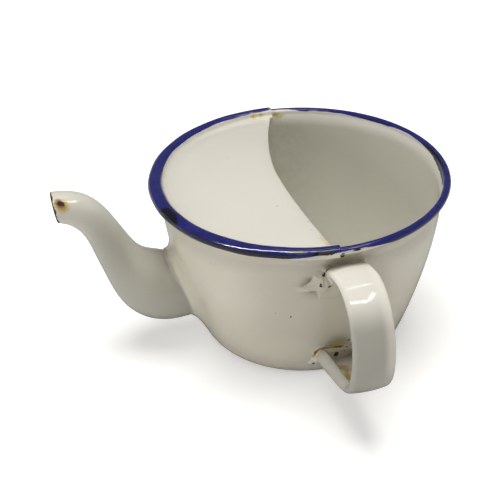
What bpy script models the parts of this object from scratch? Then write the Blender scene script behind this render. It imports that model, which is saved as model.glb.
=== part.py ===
"""Enamelled pressed-steel invalid feeding cup: a round bowl with a rolled rim,
a half cover clinched over that rim, a gooseneck spout made of two pressed
halves, a channel-section strap handle, and the welds that join them.

Lengths in the script are millimetres. The scene is in metres, +Z up, with the
origin at the centre of the base: the spout points along -X, the handle points
roughly along -Y, and the cover lies over the spout's half of the bowl.
"""

import math

import bpy
from mathutils import Vector

MM = 0.001
GAP = 0.30  # clearance left where two pieces touch
SHARP_ANGLE = math.radians(35.0)  # edges steeper than this are shaded sharp

# ---- bowl ------------------------------------------------------------------
BOWL_SEGMENTS = 60
WALL_STEPS = 10  # height steps from the base corner to the crease
WALL_T = 1.1
FOOT_R = 29.5  # flat round base that the cup stands on
CORNER_R, CORNER_Z = 36.4, 6.0  # where the base corner runs into the wall
CREASE_R, CREASE_Z = 47.1, 52.4  # the wall ends here and the lip flares out
WALL_DROP, WALL_POWER = 0.0276, 1.55  # how the wall draws in below the crease
LIP_FLARE = 0.32  # radius gained per unit of height above the crease
INNER_RISE = 0.25  # the inside of the wall is this much higher than the outside

# The base corner's curves: (radius, height) of start, control point and end.
OUTER_CORNER = ((FOOT_R, 0.0), (CORNER_R - 1.8, 0.0), (CORNER_R, CORNER_Z))
INNER_CORNER = (
    (FOOT_R - 0.5, WALL_T),
    (CORNER_R - 2.9, WALL_T + 0.15),
    (CORNER_R - WALL_T, CORNER_Z + 0.8),
)
OUTER_CORNER_STEPS = (0.0, 0.3, 0.55, 0.8)
INNER_CORNER_STEPS = (1.0, 0.66, 0.33, 0.0)

BEAD_R, BEAD_Z, BEAD_TUBE = 48.6, 57.8, 1.3  # rolled rim
BEAD_DEGREES = (-98, -65, -32, 0, 32, 65, 98, 131, 164, 205)

HOLE_R, HOLE_Z = 9.0, 21.8  # round hole into the spout
HOLE_SIDES = 28
HOLE_ENDS_X = (-55.0, -25.0)  # ends of the cutter

# ---- half cover ------------------------------------------------------------
COVER_ROWS = 36
COVER_T, CURL_T = 0.8, 0.5  # sheet thickness on the panel and round the bead
COVER_R = 47.0  # radius that the dome and the free edge are measured by
COVER_TOP, COVER_FALL, COVER_POWER = 61.2, 4.6, 1.5
TROUGH_R, TROUGH_DEPTH, TROUGH_WIDTH = 44.2, 0.45, 1.6
EDGE_END, EDGE_BOW, EDGE_POWER = 0.19, 8.64, 1.65  # free edge, bowed towards -X
EDGE_END_Y = 44.6  # the free edge's ends, either side of the X axis
PANEL_R = 45.7  # the panel ends here and the curl starts
PANEL_END_X = 0.3  # x of the panel's rim at both ends of the free edge
PANEL_STEPS = (0.0, 0.18, 0.38, 0.58, 0.76, 0.9, 1.0)  # free edge to PANEL_R
CURL_START = (46.32, 57.05)  # (radius, height) between the panel and the curl
CURL_R = 1.75  # middle of the sheet, round the bead's centre
CURL_DEGREES = (180, 148, 116, 84, 52, 20, -12, -40, -64)

# ---- spout -----------------------------------------------------------------
# (distance from the cup's axis, height, outside radius) along the centre line
SPOUT = (
    (32.0, 22.4, 12.0),
    (40.1, 22.2, 12.0),
    (49.6, 21.9, 12.1),
    (55.5, 25.8, 10.9),
    (60.6, 32.0, 8.0),
    (64.8, 40.3, 6.3),
    (68.9, 48.9, 5.6),
    (74.8, 55.1, 5.6),
    (81.8, 56.9, 5.1),
    (85.5, 57.0, 5.0),
)
SPOUT_T = 1.0
SPOUT_STEPS = 22  # along the spout
SPOUT_AROUND = 9  # points round one half
TIP_KNOT = 8  # the plane of the mouth passes through this knot
TIP_TILT = math.radians(8.0)
# Distances along the path between which the spout's ends are looked for
ROOT_SEARCH = (0.5, 22.0)
TIP_SEARCH = (-4.0, 3.5)  # from the tip knot
SPOUT_SLOPE_STEP = 0.05

# ---- handle ----------------------------------------------------------------
HANDLE_TURN = math.radians(3.45)  # the strap is turned this far from -Y to +X
# (distance from the cup's axis, height) along the outside of the web
HANDLE = (
    (38.0, 45.4),
    (46.8, 51.2),
    (54.0, 53.6),
    (60.0, 53.9),
    (65.0, 52.1),
    (69.4, 48.6),
    (72.6, 43.5),
    (74.2, 37.0),
    (74.2, 31.0),
    (72.6, 24.7),
    (68.7, 19.4),
    (62.8, 15.7),
    (55.6, 13.2),
    (48.0, 11.1),
    (41.0, 9.0),
    (32.0, 6.0),
)
HANDLE_STEPS = 36
STRAP_W, FLANGE, STRAP_T = 13.6, 3.4, 1.0
STRAP_FILLET, STRAP_CROWN = 1.5, 0.35
FILLET_DEGREES = (180, 150, 120, 90)
FLANGE_LEAN = 1.3  # the flanges lean in towards each other
MID_LEAN = 0.42  # share of the lean reached halfway along a flange
QUARTER_CROWN = 0.75  # share of the crown reached a quarter width off centre
# The flanges' straight part is deeper where the strap lands on the bowl: over
# a short length at the top end, and along the whole bottom leg.
LANDING = 9.5  # length of path inside the bowl's wall at each end
TOP_DEEPER, TOP_RUN = 1.3, 5.0
BOTTOM_DEEPER, BOTTOM_RUN = 1.4, 27.0
# The strap's ends are looked for this far from the path's ends, and no further
# along than a share of its length.
END_MARGIN, END_SHARE = 0.5, 0.28
HANDLE_SLOPE_STEP = 0.4

# ---- welds -----------------------------------------------------------------
ROOT_LEG, ROOT_HEIGHT = 2.3, 2.8
ROOT_AROUND = 30
STRAP_LEG, STRAP_HEIGHT = 1.8, 1.8
TAIL_LEG = 6.5  # the top weld runs out into a tail beside the -X flange
TAIL_POINTS = 2.5  # the tail fades out over this many outline points
WELD_LIP = 0.25  # thickness at the weld's edges
WELD_STEPS = (0.35, 0.65, 0.85, 1.0)  # shares of the leg, out to the toe
WELD_POWER = 1.7  # hollowness of the fillet
TOP, BOTTOM = 0, 1  # the strap's ends


# ---- scene -----------------------------------------------------------------
def clear_scene():
    for obj in list(bpy.data.objects):
        bpy.data.objects.remove(obj, do_unlink=True)
    for mesh in list(bpy.data.meshes):
        bpy.data.meshes.remove(mesh)
    for mat in list(bpy.data.materials):
        bpy.data.materials.remove(mat)


def enamel(name, colour, roughness):
    """Glossy enamel under a thin clear coat."""
    mat = bpy.data.materials.new(name)
    mat.use_nodes = True
    settings = {
        "Base Color": (*colour, 1.0),
        "Roughness": roughness,
        "Coat Weight": 0.4,
        "Coat Roughness": 0.08,
    }
    shader = mat.node_tree.nodes["Principled BSDF"]
    for socket, value in settings.items():
        shader.inputs[socket].default_value = value
    mat.diffuse_color = (*colour, 1.0)
    return mat


def facing_out(points, faces):
    """The same faces, turned round if they enclose a negative volume."""
    volume = 0.0
    for face in faces:
        first, *rest = [Vector(points[i]) for i in face]
        for second, third in zip(rest, rest[1:]):
            volume += first.dot(second.cross(third))
    return faces if volume > 0.0 else [tuple(reversed(face)) for face in faces]


def add_object(name, solid, parent, mat=None):
    """An object from a solid, which is a pair of points and faces."""
    points, faces = solid
    mesh = bpy.data.meshes.new(name)
    scaled = [tuple(c * MM for c in point) for point in points]
    mesh.from_pydata(scaled, [], facing_out(points, faces))
    mesh.validate(clean_customdata=False)
    mesh.update()
    mesh.shade_smooth()
    mesh.set_sharp_from_angle(angle=SHARP_ANGLE)
    if mat:
        mesh.materials.append(mat)
    obj = bpy.data.objects.new(name, mesh)
    bpy.context.scene.collection.objects.link(obj)
    obj.parent = parent
    return obj


# ---- solids ----------------------------------------------------------------
def revolve(profile, segments):
    """A solid from a profile of (radius, z) that starts and ends on the axis."""
    points, rings = [], []
    for radius, z in profile:
        on_axis = radius < 1e-6
        count = 1 if on_axis else segments
        rings.append(range(len(points), len(points) + count))
        for i in range(count):
            angle = 2.0 * math.pi * i / segments
            points.append((radius * math.cos(angle), radius * math.sin(angle), z))
    faces = []
    for low, high in zip(rings, rings[1:]):
        for i in range(segments):
            j = (i + 1) % segments
            if len(low) == 1:
                faces.append((low[0], high[j], high[i]))
            elif len(high) == 1:
                faces.append((low[i], low[j], high[0]))
            else:
                faces.append((low[i], low[j], high[j], high[i]))
    return points, faces


def closed_sheet(outer, inner):
    """A solid between two grids of points of the same size."""
    rows, count = len(outer), len(outer[0])
    points = [point for row in outer + inner for point in row]
    shift = rows * count  # from an outer point to the inner one behind it

    def at(i, j):
        return i * count + j

    faces = []
    for i in range(rows - 1):
        for j in range(count - 1):
            quad = (at(i, j), at(i + 1, j), at(i + 1, j + 1), at(i, j + 1))
            faces.append(quad)
            faces.append(tuple(k + shift for k in reversed(quad)))
    border = [at(i, 0) for i in range(rows)]
    border += [at(rows - 1, j) for j in range(1, count)]
    border += [at(i, count - 1) for i in range(rows - 2, -1, -1)]
    border += [at(0, j) for j in range(count - 2, 0, -1)]
    for i, j in zip(border, border[1:] + border[:1]):
        faces.append((j, i, i + shift, j + shift))
    return points, faces


def swept_ring(sections, closed):
    """A solid through a list of polygons, each with the same number of points.
    It closes on itself, or has flat ends."""
    count = len(sections[0])
    points = [point for section in sections for point in section]
    faces = []
    for i in range(len(sections) if closed else len(sections) - 1):
        here, there = i * count, (i + 1) % len(sections) * count
        for j in range(count):
            k = (j + 1) % count
            faces.append((here + j, there + j, there + k, here + k))
    if not closed:
        last = (len(sections) - 1) * count
        faces.append(tuple(range(count)))
        faces.append(tuple(last + j for j in reversed(range(count))))
    return points, faces


# ---- curves ----------------------------------------------------------------
def chords(knots):
    return [math.hypot(b[0] - a[0], b[1] - a[1]) for a, b in zip(knots, knots[1:])]


SPOUT_CHORDS = chords(SPOUT)
HANDLE_CHORDS = chords(HANDLE)
HANDLE_LENGTH = sum(HANDLE_CHORDS)


def knot_slope(knots, spans, i):
    """Rate of change at knot i, per unit of chord length."""
    if i == 0:
        return [(b - a) / spans[0] for a, b in zip(knots[0], knots[1])]
    if i == len(knots) - 1:
        return [(b - a) / spans[-1] for a, b in zip(knots[-2], knots[-1])]
    before, after = spans[i - 1], spans[i]
    return [
        ((b - a) / before * after + (c - b) / after * before) / (before + after)
        for a, b, c in zip(knots[i - 1], knots[i], knots[i + 1])
    ]


def hermite(knots, spans, distance):
    """Smooth curve through the knots, at a distance along their chords."""
    k = 0
    while k < len(spans) - 1 and distance > spans[k]:
        distance -= spans[k]
        k += 1
    span = spans[k]
    u = distance / span
    start_weight, end_weight = 2 * u**3 - 3 * u**2 + 1, -2 * u**3 + 3 * u**2
    leave_weight, arrive_weight = u**3 - 2 * u**2 + u, u**3 - u**2
    return [
        start_weight * start
        + leave_weight * span * leave
        + end_weight * end
        + arrive_weight * span * arrive
        for start, end, leave, arrive in zip(
            knots[k],
            knots[k + 1],
            knot_slope(knots, spans, k),
            knot_slope(knots, spans, k + 1),
        )
    ]


def bezier(curve, u):
    return tuple(
        (1 - u) ** 2 * start + 2 * u * (1 - u) * control + u * u * end
        for start, control, end in zip(*curve)
    )


def crossing(function, low, high):
    """Where the function changes sign between low and high."""
    starts_positive = function(low) > 0.0
    for _ in range(50):
        middle = 0.5 * (low + high)
        if (function(middle) > 0.0) == starts_positive:
            low = middle
        else:
            high = middle
    return 0.5 * (low + high)


# ---- bowl ------------------------------------------------------------------
def wall_r(z):
    """Outside radius of the bowl at height z."""
    if z >= CREASE_Z:
        return CREASE_R + (z - CREASE_Z) * LIP_FLARE
    if z >= CORNER_Z:
        return CREASE_R - WALL_DROP * (CREASE_Z - z) ** WALL_POWER
    if z <= 0.0:
        return FOOT_R
    u = crossing(lambda u: bezier(OUTER_CORNER, u)[1] - z, 0.0, 1.0)
    return bezier(OUTER_CORNER, u)[0]


def outside_bowl(point):
    """How far a point stands clear of the bowl's wall, beyond the gap."""
    return math.hypot(point[0], point[1]) - wall_r(point[2]) - GAP


def round_bead(radius, degrees):
    """(radius, height) of a point on a circle round the bead's centre."""
    angle = math.radians(degrees)
    return BEAD_R + radius * math.cos(angle), BEAD_Z + radius * math.sin(angle)


def bowl_profile():
    """From the underside, up the outside, round the bead and down the inside."""
    rise = CREASE_Z - CORNER_Z
    levels = [CORNER_Z + rise * k / WALL_STEPS for k in range(WALL_STEPS + 1)]
    profile = [(0.0, 0.0)]
    profile += [bezier(OUTER_CORNER, u) for u in OUTER_CORNER_STEPS]
    profile += [(wall_r(z), z) for z in levels]
    profile += [round_bead(BEAD_TUBE, degrees) for degrees in BEAD_DEGREES]
    profile += [(wall_r(z) - WALL_T, z + INNER_RISE) for z in reversed(levels[1:])]
    profile += [bezier(INNER_CORNER, u) for u in INNER_CORNER_STEPS]
    profile += [(0.0, WALL_T)]
    return profile


def hole_cutter():
    """A cylinder along X through the wall on the -X side."""
    angles = [2.0 * math.pi * (i + 0.5) / HOLE_SIDES for i in range(HOLE_SIDES)]
    sections = [
        [(x, HOLE_R * math.cos(a), HOLE_Z + HOLE_R * math.sin(a)) for a in angles]
        for x in HOLE_ENDS_X
    ]
    return swept_ring(sections, closed=False)


def build_bowl(parent, mat):
    bowl = add_object("bowl", revolve(bowl_profile(), BOWL_SEGMENTS), parent, mat)
    cutter = add_object("spout_hole_cutter", hole_cutter(), parent)
    cutter.hide_render = True
    cutter.display_type = "WIRE"
    hole = bowl.modifiers.new("spout_hole", "BOOLEAN")
    hole.operation = "DIFFERENCE"
    hole.solver = "EXACT"
    hole.object = cutter


# ---- half cover ------------------------------------------------------------
def cover_z(radius):
    """Middle of the cover's sheet: a low dome with a trough near the rim."""
    trough = TROUGH_DEPTH * math.exp(-(((radius - TROUGH_R) / TROUGH_WIDTH) ** 2))
    return COVER_TOP - COVER_FALL * (radius / COVER_R) ** COVER_POWER - trough


def free_edge_x(y):
    bow = 1.0 - min(1.0, abs(y) / COVER_R) ** EDGE_POWER
    return -EDGE_END - EDGE_BOW * bow


def cover_row(turn):
    """Middle of the sheet as (point, thickness), from the free edge out, over the
    bead and under it. turn is -1 at the handle side and 1 at the far side."""
    start_y = EDGE_END_Y * math.sin(0.5 * math.pi * turn)
    start_x = free_edge_x(start_y)
    reach = math.pi - math.acos(PANEL_END_X / PANEL_R)
    angle = math.pi - turn * reach
    out_x, out_y = math.cos(angle), math.sin(angle)
    row = []
    for u in PANEL_STEPS:
        x = start_x + (PANEL_R * out_x - start_x) * u
        y = start_y + (PANEL_R * out_y - start_y) * u
        row.append((Vector((x, y, cover_z(math.hypot(x, y)))), COVER_T))
    curl = [CURL_START] + [round_bead(CURL_R, degrees) for degrees in CURL_DEGREES]
    for radius, z in curl:
        row.append((Vector((radius * out_x, radius * out_y, z)), CURL_T))
    return row


def half_cover():
    rows = [cover_row(-1.0 + 2.0 * i / COVER_ROWS) for i in range(COVER_ROWS + 1)]
    top, bottom = [], []
    for i, row in enumerate(rows):
        before, after = rows[max(i - 1, 0)], rows[min(i + 1, len(rows) - 1)]
        upper, lower = [], []
        for j, (point, thickness) in enumerate(row):
            along = after[j][0] - before[j][0]
            across = row[min(j + 1, len(row) - 1)][0] - row[max(j - 1, 0)][0]
            normal = along.cross(across).normalized()
            upper.append(tuple(point + normal * 0.5 * thickness))
            lower.append(tuple(point - normal * 0.5 * thickness))
        top.append(upper)
        bottom.append(lower)
    return closed_sheet(top, bottom)


# ---- spout -----------------------------------------------------------------
def spout_point(angle, offset, distance):
    """A point round the spout, at angle 0 towards +Y and 90 degrees on top."""
    out, z, radius = hermite(SPOUT, SPOUT_CHORDS, distance)
    next_out, next_z, _ = hermite(SPOUT, SPOUT_CHORDS, distance + SPOUT_SLOPE_STEP)
    run, rise = next_out - out, next_z - z
    length = math.hypot(run, rise)
    size = radius + offset
    up = size * math.sin(angle)
    return -(out - up * rise / length), size * math.cos(angle), z + up * run / length


def spout_root(angle, offset):
    """Distance at which the spout meets the bowl."""
    return crossing(
        lambda distance: outside_bowl(spout_point(angle, offset, distance)),
        *ROOT_SEARCH,
    )


def spout_tip(angle, offset):
    """Distance at which the spout meets the tilted plane of its mouth."""
    knot_distance = sum(SPOUT_CHORDS[:TIP_KNOT])
    tip_out, tip_z, _ = SPOUT[TIP_KNOT]

    def past(distance):
        x, _, z = spout_point(angle, offset, distance)
        return -(x + tip_out) * math.cos(TIP_TILT) - (z - tip_z) * math.sin(TIP_TILT)

    return crossing(past, *(knot_distance + reach for reach in TIP_SEARCH))


def spout_half(side):
    """Half of the spout: side is -1 towards the handle, 1 away from it."""
    half_gap = 0.5 * GAP
    grids = []
    for offset in (0.0, -SPOUT_T):
        grid = []
        for k in range(SPOUT_AROUND):
            angle = math.pi * (k / (SPOUT_AROUND - 1) - 0.5)
            first, last = spout_root(angle, offset), spout_tip(angle, offset)
            row = []
            for i in range(SPOUT_STEPS + 1):
                distance = first + (last - first) * i / SPOUT_STEPS
                x, y, z = spout_point(angle, offset, distance)
                size = hermite(SPOUT, SPOUT_CHORDS, distance)[2] + offset
                y = side * (half_gap + y * (size - half_gap) / size)
                row.append((x, y, z))
            grid.append(row)
        grids.append(grid)
    return closed_sheet(*grids)


# ---- handle ----------------------------------------------------------------
def flange_scale(distance):
    """How much deeper the flanges are near the bowl than out at the bend."""
    top = max(distance - LANDING, 0.0) / TOP_RUN
    bottom = max(HANDLE_LENGTH - LANDING - distance, 0.0) / BOTTOM_RUN
    return 1.0 + TOP_DEEPER * math.exp(-(top**2)) + BOTTOM_DEEPER * math.exp(-(bottom**4))


def strap_point(width, depth, distance):
    """A point beside the path: width across the strap, depth outwards from it."""
    before = max(distance - HANDLE_SLOPE_STEP, 0.0)
    after = min(distance + HANDLE_SLOPE_STEP, HANDLE_LENGTH)
    out, z = hermite(HANDLE, HANDLE_CHORDS, distance)
    out_before, z_before = hermite(HANDLE, HANDLE_CHORDS, before)
    out_after, z_after = hermite(HANDLE, HANDLE_CHORDS, after)
    run, rise = out_after - out_before, z_after - z_before
    length = math.hypot(run, rise)
    if depth < -STRAP_FILLET:
        depth = -STRAP_FILLET + (depth + STRAP_FILLET) * flange_scale(distance)
    out -= depth * rise / length
    z += depth * run / length
    turn_sin, turn_cos = math.sin(HANDLE_TURN), math.cos(HANDLE_TURN)
    return out * turn_sin + width * turn_cos, width * turn_sin - out * turn_cos, z


def strap_section(offset):
    """The channel's outline as (width, depth), from the free edge of the -X
    flange over the crown to that of the +X flange. offset moves it outwards."""
    half, fillet = 0.5 * STRAP_W + offset, STRAP_FILLET + offset
    flank = [
        (-half + FLANGE_LEAN, -FLANGE),
        (-half + MID_LEAN * FLANGE_LEAN, -0.5 * (FLANGE + STRAP_FILLET)),
    ]
    for degrees in FILLET_DEGREES:
        angle = math.radians(degrees)
        width = -0.5 * STRAP_W + STRAP_FILLET + fillet * math.cos(angle)
        flank.append((width, -STRAP_FILLET + fillet * math.sin(angle)))
    flank.append((-0.25 * STRAP_W, offset + QUARTER_CROWN * STRAP_CROWN))
    mirrored = [(-width, depth) for width, depth in reversed(flank)]
    return flank + [(0.0, offset + STRAP_CROWN)] + mirrored


def strap_end(width, depth, end):
    """Distance at which the strap meets the bowl, at its TOP or BOTTOM end."""

    def past(distance):
        return outside_bowl(strap_point(width, depth, distance))

    if end == TOP:
        return crossing(past, END_MARGIN, END_SHARE * HANDLE_LENGTH)
    return crossing(past, (1.0 - END_SHARE) * HANDLE_LENGTH, HANDLE_LENGTH - END_MARGIN)


def handle_strap():
    grids = []
    for offset in (0.0, -STRAP_T):
        grid = []
        for width, depth in strap_section(offset):
            first = strap_end(width, depth, TOP)
            step = (strap_end(width, depth, BOTTOM) - first) / HANDLE_STEPS
            grid.append(
                [strap_point(width, depth, first + step * i) for i in range(HANDLE_STEPS + 1)]
            )
        grids.append(grid)
    return closed_sheet(*grids)


# ---- welds -----------------------------------------------------------------
def fillet_section(place, meet, direction, leg, height):
    """One slice of a fillet weld. place(offset, distance) is a point beside the
    part, meet(offset) is the distance where that line meets the bowl, and
    direction is the sign of distance away from the bowl."""

    def above_bowl(offset, rise):
        return place(offset, meet(offset) + direction * rise)

    inner = GAP + WELD_LIP
    crest = meet(GAP) + direction * height
    section = [above_bowl(GAP, 0.0), place(GAP, crest), place(inner, crest)]
    for u in WELD_STEPS:
        rise = WELD_LIP + (height - WELD_LIP) * (1.0 - u) ** WELD_POWER
        section.append(above_bowl(inner + leg * u**WELD_POWER, rise))
    section.append(above_bowl(inner + leg, 0.0))
    section.append(above_bowl(GAP + 0.5 * leg, 0.0))
    return section


def spout_root_weld():
    """A fillet all round the spout where it meets the bowl."""

    def section_at(angle):
        return fillet_section(
            place=lambda offset, distance: spout_point(angle, offset, distance),
            meet=lambda offset: spout_root(angle, offset),
            direction=1.0,
            leg=ROOT_LEG,
            height=ROOT_HEIGHT,
        )

    angles = [2.0 * math.pi * k / ROOT_AROUND for k in range(ROOT_AROUND)]
    return swept_ring([section_at(angle) for angle in angles], closed=True)


def strap_weld(end):
    """A fillet along the strap's outside, from one flange round to the other."""
    outline = strap_section(0.0)

    def section_at(k):
        width, depth = outline[k]
        before, after = outline[max(k - 1, 0)], outline[min(k + 1, len(outline) - 1)]
        run = (after[0] - before[0], after[1] - before[1])
        length = math.hypot(*run)
        normal = (-run[1] / length, run[0] / length)
        if depth < -STRAP_FILLET:  # beside a flange the weld spreads sideways only
            normal = (math.copysign(1.0, width), 0.0)
        tail = max(0.0, 1.0 - k / TAIL_POINTS) if end == TOP else 0.0

        def beside(offset):
            return width + offset * normal[0], depth + offset * normal[1]

        return fillet_section(
            place=lambda offset, distance: strap_point(*beside(offset), distance),
            meet=lambda offset: strap_end(*beside(offset), end),
            direction=1.0 if end == TOP else -1.0,
            leg=STRAP_LEG + tail * (TAIL_LEG - STRAP_LEG),
            height=STRAP_HEIGHT,
        )

    return swept_ring([section_at(k) for k in range(len(outline))], closed=False)


# ---- assembly --------------------------------------------------------------
def main():
    clear_scene()
    cup = bpy.data.objects.new("feeding_cup", None)
    bpy.context.scene.collection.objects.link(cup)

    white = enamel("white_enamel", colour=(0.62, 0.60, 0.53), roughness=0.22)
    cover = enamel("cover_enamel", colour=(0.72, 0.70, 0.62), roughness=0.24)
    spout = enamel("spout_enamel", colour=(0.60, 0.58, 0.51), roughness=0.22)
    spout_far = enamel("spout_far_enamel", colour=(0.60, 0.58, 0.51), roughness=0.22)
    handle = enamel("handle_enamel", colour=(0.60, 0.58, 0.53), roughness=0.20)
    root = enamel("spout_weld_enamel", colour=(0.58, 0.56, 0.49), roughness=0.28)
    top = enamel("handle_top_weld_enamel", colour=(0.50, 0.42, 0.30), roughness=0.35)
    bottom = enamel("handle_bottom_weld_enamel", colour=(0.42, 0.26, 0.12), roughness=0.45)

    build_bowl(cup, white)
    add_object("half_cover", half_cover(), cup, cover)
    add_object("spout_half_handle_side", spout_half(-1.0), cup, spout)
    add_object("spout_half_far_side", spout_half(1.0), cup, spout_far)
    add_object("handle_strap", handle_strap(), cup, handle)
    add_object("spout_root_weld", spout_root_weld(), cup, root)
    add_object("handle_top_weld", strap_weld(TOP), cup, top)
    add_object("handle_bottom_weld", strap_weld(BOTTOM), cup, bottom)


main()
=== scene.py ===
"""A small enamelled cup: round bowl, clinched half cover, gooseneck spout and strap handle.

The bowl stands on z = 0 about the Z axis. The spout points to -X (left), the handle to -Y
(front), and the half cover closes the side towards -X. Shapes are worked out in millimetres.
"""
import math

import bmesh
import bpy
import numpy as np
from mathutils import Matrix, Vector


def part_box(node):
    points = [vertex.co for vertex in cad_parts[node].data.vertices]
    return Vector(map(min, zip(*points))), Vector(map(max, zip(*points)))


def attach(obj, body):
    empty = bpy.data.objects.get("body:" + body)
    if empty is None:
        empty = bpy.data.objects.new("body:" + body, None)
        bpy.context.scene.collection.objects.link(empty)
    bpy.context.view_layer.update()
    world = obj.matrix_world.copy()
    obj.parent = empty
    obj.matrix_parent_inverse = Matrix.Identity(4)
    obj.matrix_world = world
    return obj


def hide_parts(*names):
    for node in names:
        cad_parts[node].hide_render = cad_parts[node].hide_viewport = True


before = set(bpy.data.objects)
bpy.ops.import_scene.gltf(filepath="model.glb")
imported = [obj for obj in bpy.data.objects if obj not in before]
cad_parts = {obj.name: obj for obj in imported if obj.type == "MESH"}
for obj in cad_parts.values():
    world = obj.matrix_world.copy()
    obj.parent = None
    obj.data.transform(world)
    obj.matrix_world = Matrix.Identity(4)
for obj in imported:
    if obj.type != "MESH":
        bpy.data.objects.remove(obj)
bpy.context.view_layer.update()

MM = 0.001

# ---------------------------------------------------------------------------
# Shared dimensions, in millimetres
# ---------------------------------------------------------------------------
bowl_high = np.array(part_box("bowl")[1]) * 1000.0

BEAD_TUBE = 1.3  # tube radius of the rolled rim
BEAD_RADIUS = float(bowl_high[1]) - BEAD_TUBE  # circle through the middle of the rolled rim
BEAD_Z = float(bowl_high[2]) - BEAD_TUBE - 0.1
CREASE_RADIUS, CREASE_Z = 47.1, 52.4
CORNER_RADIUS, CORNER_Z = 36.4, 6.0
FOOT_RADIUS = 29.5
WALL = 1.1


# ---------------------------------------------------------------------------
# Numeric helpers
# ---------------------------------------------------------------------------
class Spline:
    """Natural cubic spline through points, measured along their chords."""

    def __init__(self, points):
        points = np.array(points, float)
        spans = np.linalg.norm(np.diff(points[:, :2], axis=0), axis=1)
        count = len(points)
        matrix = np.zeros((count, count))
        target = np.zeros_like(points)
        matrix[0, 0] = matrix[-1, -1] = 1.0
        for i in range(1, count - 1):
            before, after = spans[i - 1], spans[i]
            matrix[i, i - 1 : i + 2] = before, 2 * (before + after), after
            rise, fall = points[i + 1] - points[i], points[i] - points[i - 1]
            target[i] = 6 * (rise / after - fall / before)
        self.points, self.spans = points, spans
        self.knots = np.concatenate([[0.0], np.cumsum(spans)])
        self.bends = np.linalg.solve(matrix, target)  # second derivatives

    def locate(self, along):
        """Span index and length, with the lengths done and left within the span."""
        along = np.asarray(along, float)
        k = np.searchsorted(self.knots, along, side="right") - 1
        k = np.clip(k, 0, len(self.spans) - 1)
        span = self.spans[k][..., None]
        done = (along - self.knots[k])[..., None]
        return k, span, done, span - done

    def at(self, along):
        k, span, done, left = self.locate(along)
        points, bends = self.points, self.bends
        return (
            bends[k] * left**3 / (6 * span)
            + bends[k + 1] * done**3 / (6 * span)
            + (points[k] / span - bends[k] * span / 6) * left
            + (points[k + 1] / span - bends[k + 1] * span / 6) * done
        )

    def slope(self, along):
        k, span, done, left = self.locate(along)
        points, bends = self.points, self.bends
        return (
            -bends[k] * left**2 / (2 * span)
            + bends[k + 1] * done**2 / (2 * span)
            + (points[k + 1] - points[k]) / span
            + (bends[k] - bends[k + 1]) * span / 6
        )

    def frame(self, along):
        """Point on the curve and its unit normal's two parts."""
        slope = self.slope(along)
        length = np.hypot(slope[..., 0], slope[..., 1])
        return self.at(along), -slope[..., 1] / length, slope[..., 0] / length


def bisect(measure, low, high, steps=46):
    """Where measure changes sign, for many brackets at once."""
    low, high = np.array(low, float), np.array(high, float)
    sign = measure(low) > 0
    for _ in range(steps):
        middle = 0.5 * (low + high)
        same = (measure(middle) > 0) == sign
        low = np.where(same, middle, low)
        high = np.where(same, high, middle)
    return 0.5 * (low + high)


def unit(vectors):
    return vectors / np.maximum(np.linalg.norm(vectors, axis=-1, keepdims=True), 1e-12)


def smooth(value, start, end):
    """0 at start, 1 at end, eased between; start may lie above end."""
    share = np.clip((value - start) / (end - start), 0.0, 1.0)
    return share * share * (3 - 2 * share)


def bell(value, width, power=2):
    return np.exp(-((value / width) ** power))


def bezier(count, start, bend, end):
    """Points along a quadratic curve."""
    share = np.linspace(0, 1, count)[:, None]
    start, bend, end = np.array(start), np.array(bend), np.array(end)
    return (1 - share) ** 2 * start + 2 * share * (1 - share) * bend + share * share * end


RNG = np.random.default_rng(7)
# direction, phase and weight of each wave of the noise
WAVES = [
    (RNG.normal(size=3), RNG.uniform(0, 2 * math.pi), 1.0 / (1 + 0.25 * k))
    for k in range(26)
]


def lumps(points, size):
    """Smooth noise in about -1..1, with features of about size millimetres."""
    value = np.zeros(points.shape[:-1])
    for k, (direction, phase, weight) in enumerate(WAVES):
        axis = direction / np.linalg.norm(direction)
        pitch = (2 * math.pi / size) * (0.6 + 0.05 * k)
        value += weight * np.sin(points @ axis * pitch + phase)
    return value / 3.2


# ---------------------------------------------------------------------------
# Mesh helpers: every piece is one closed surface
# ---------------------------------------------------------------------------
def grid_faces(rows, columns, wrap_rows=False, wrap_columns=False):
    i, j = np.meshgrid(
        np.arange(rows - (not wrap_rows)), np.arange(columns - (not wrap_columns)), indexing="ij"
    )
    next_i, next_j = (i + 1) % rows, (j + 1) % columns
    corners = [(i, j), (next_i, j), (next_i, next_j), (i, next_j)]
    return np.stack([row * columns + column for row, column in corners], -1).reshape(-1, 4)


def both_sides(rows, columns):
    """Faces of a grid and of a second grid behind it, turned over."""
    faces = grid_faces(rows, columns)
    return [faces, faces[:, ::-1] + rows * columns]


def border(rows, columns):
    """Row and column indices once round a grid's edge."""
    ring = [(i, 0) for i in range(rows)]
    ring += [(rows - 1, j) for j in range(1, columns)]
    ring += [(i, columns - 1) for i in range(rows - 2, -1, -1)]
    ring += [(0, j) for j in range(columns - 2, 0, -1)]
    return np.array(ring).T


def band_faces(upper, lower):
    return np.stack([np.roll(upper, -1), upper, lower, np.roll(lower, -1)], -1)


def outward(vertices, faces):
    """Faces turned so that the volume they enclose is positive."""
    triangles = np.concatenate([faces[:, [0, 1, 2]], faces[:, [0, 2, 3]]])
    first, second, third = (vertices[triangles[:, k]] for k in range(3))
    volume = np.einsum("ij,ij->i", first, np.cross(second, third)).sum()
    return faces if volume > 0 else faces[:, ::-1]


def outward_about(vertices, faces, centres):
    """Faces turned to point away from the nearest point of a ring of centres."""
    first, second, third = (vertices[faces[:, k]] for k in range(3))
    middle = (first + second + third) / 3
    near = centres[np.argmin(((middle[:, None] - centres[None]) ** 2).sum(-1), 1)]
    normals = np.cross(second - first, third - first)
    away = np.einsum("ij,ij->i", middle - near, normals).sum()
    return faces if away > 0 else faces[:, ::-1]


def add_object(name, data):
    obj = bpy.data.objects.new(name, data)
    bpy.context.scene.collection.objects.link(obj)
    return obj


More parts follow.
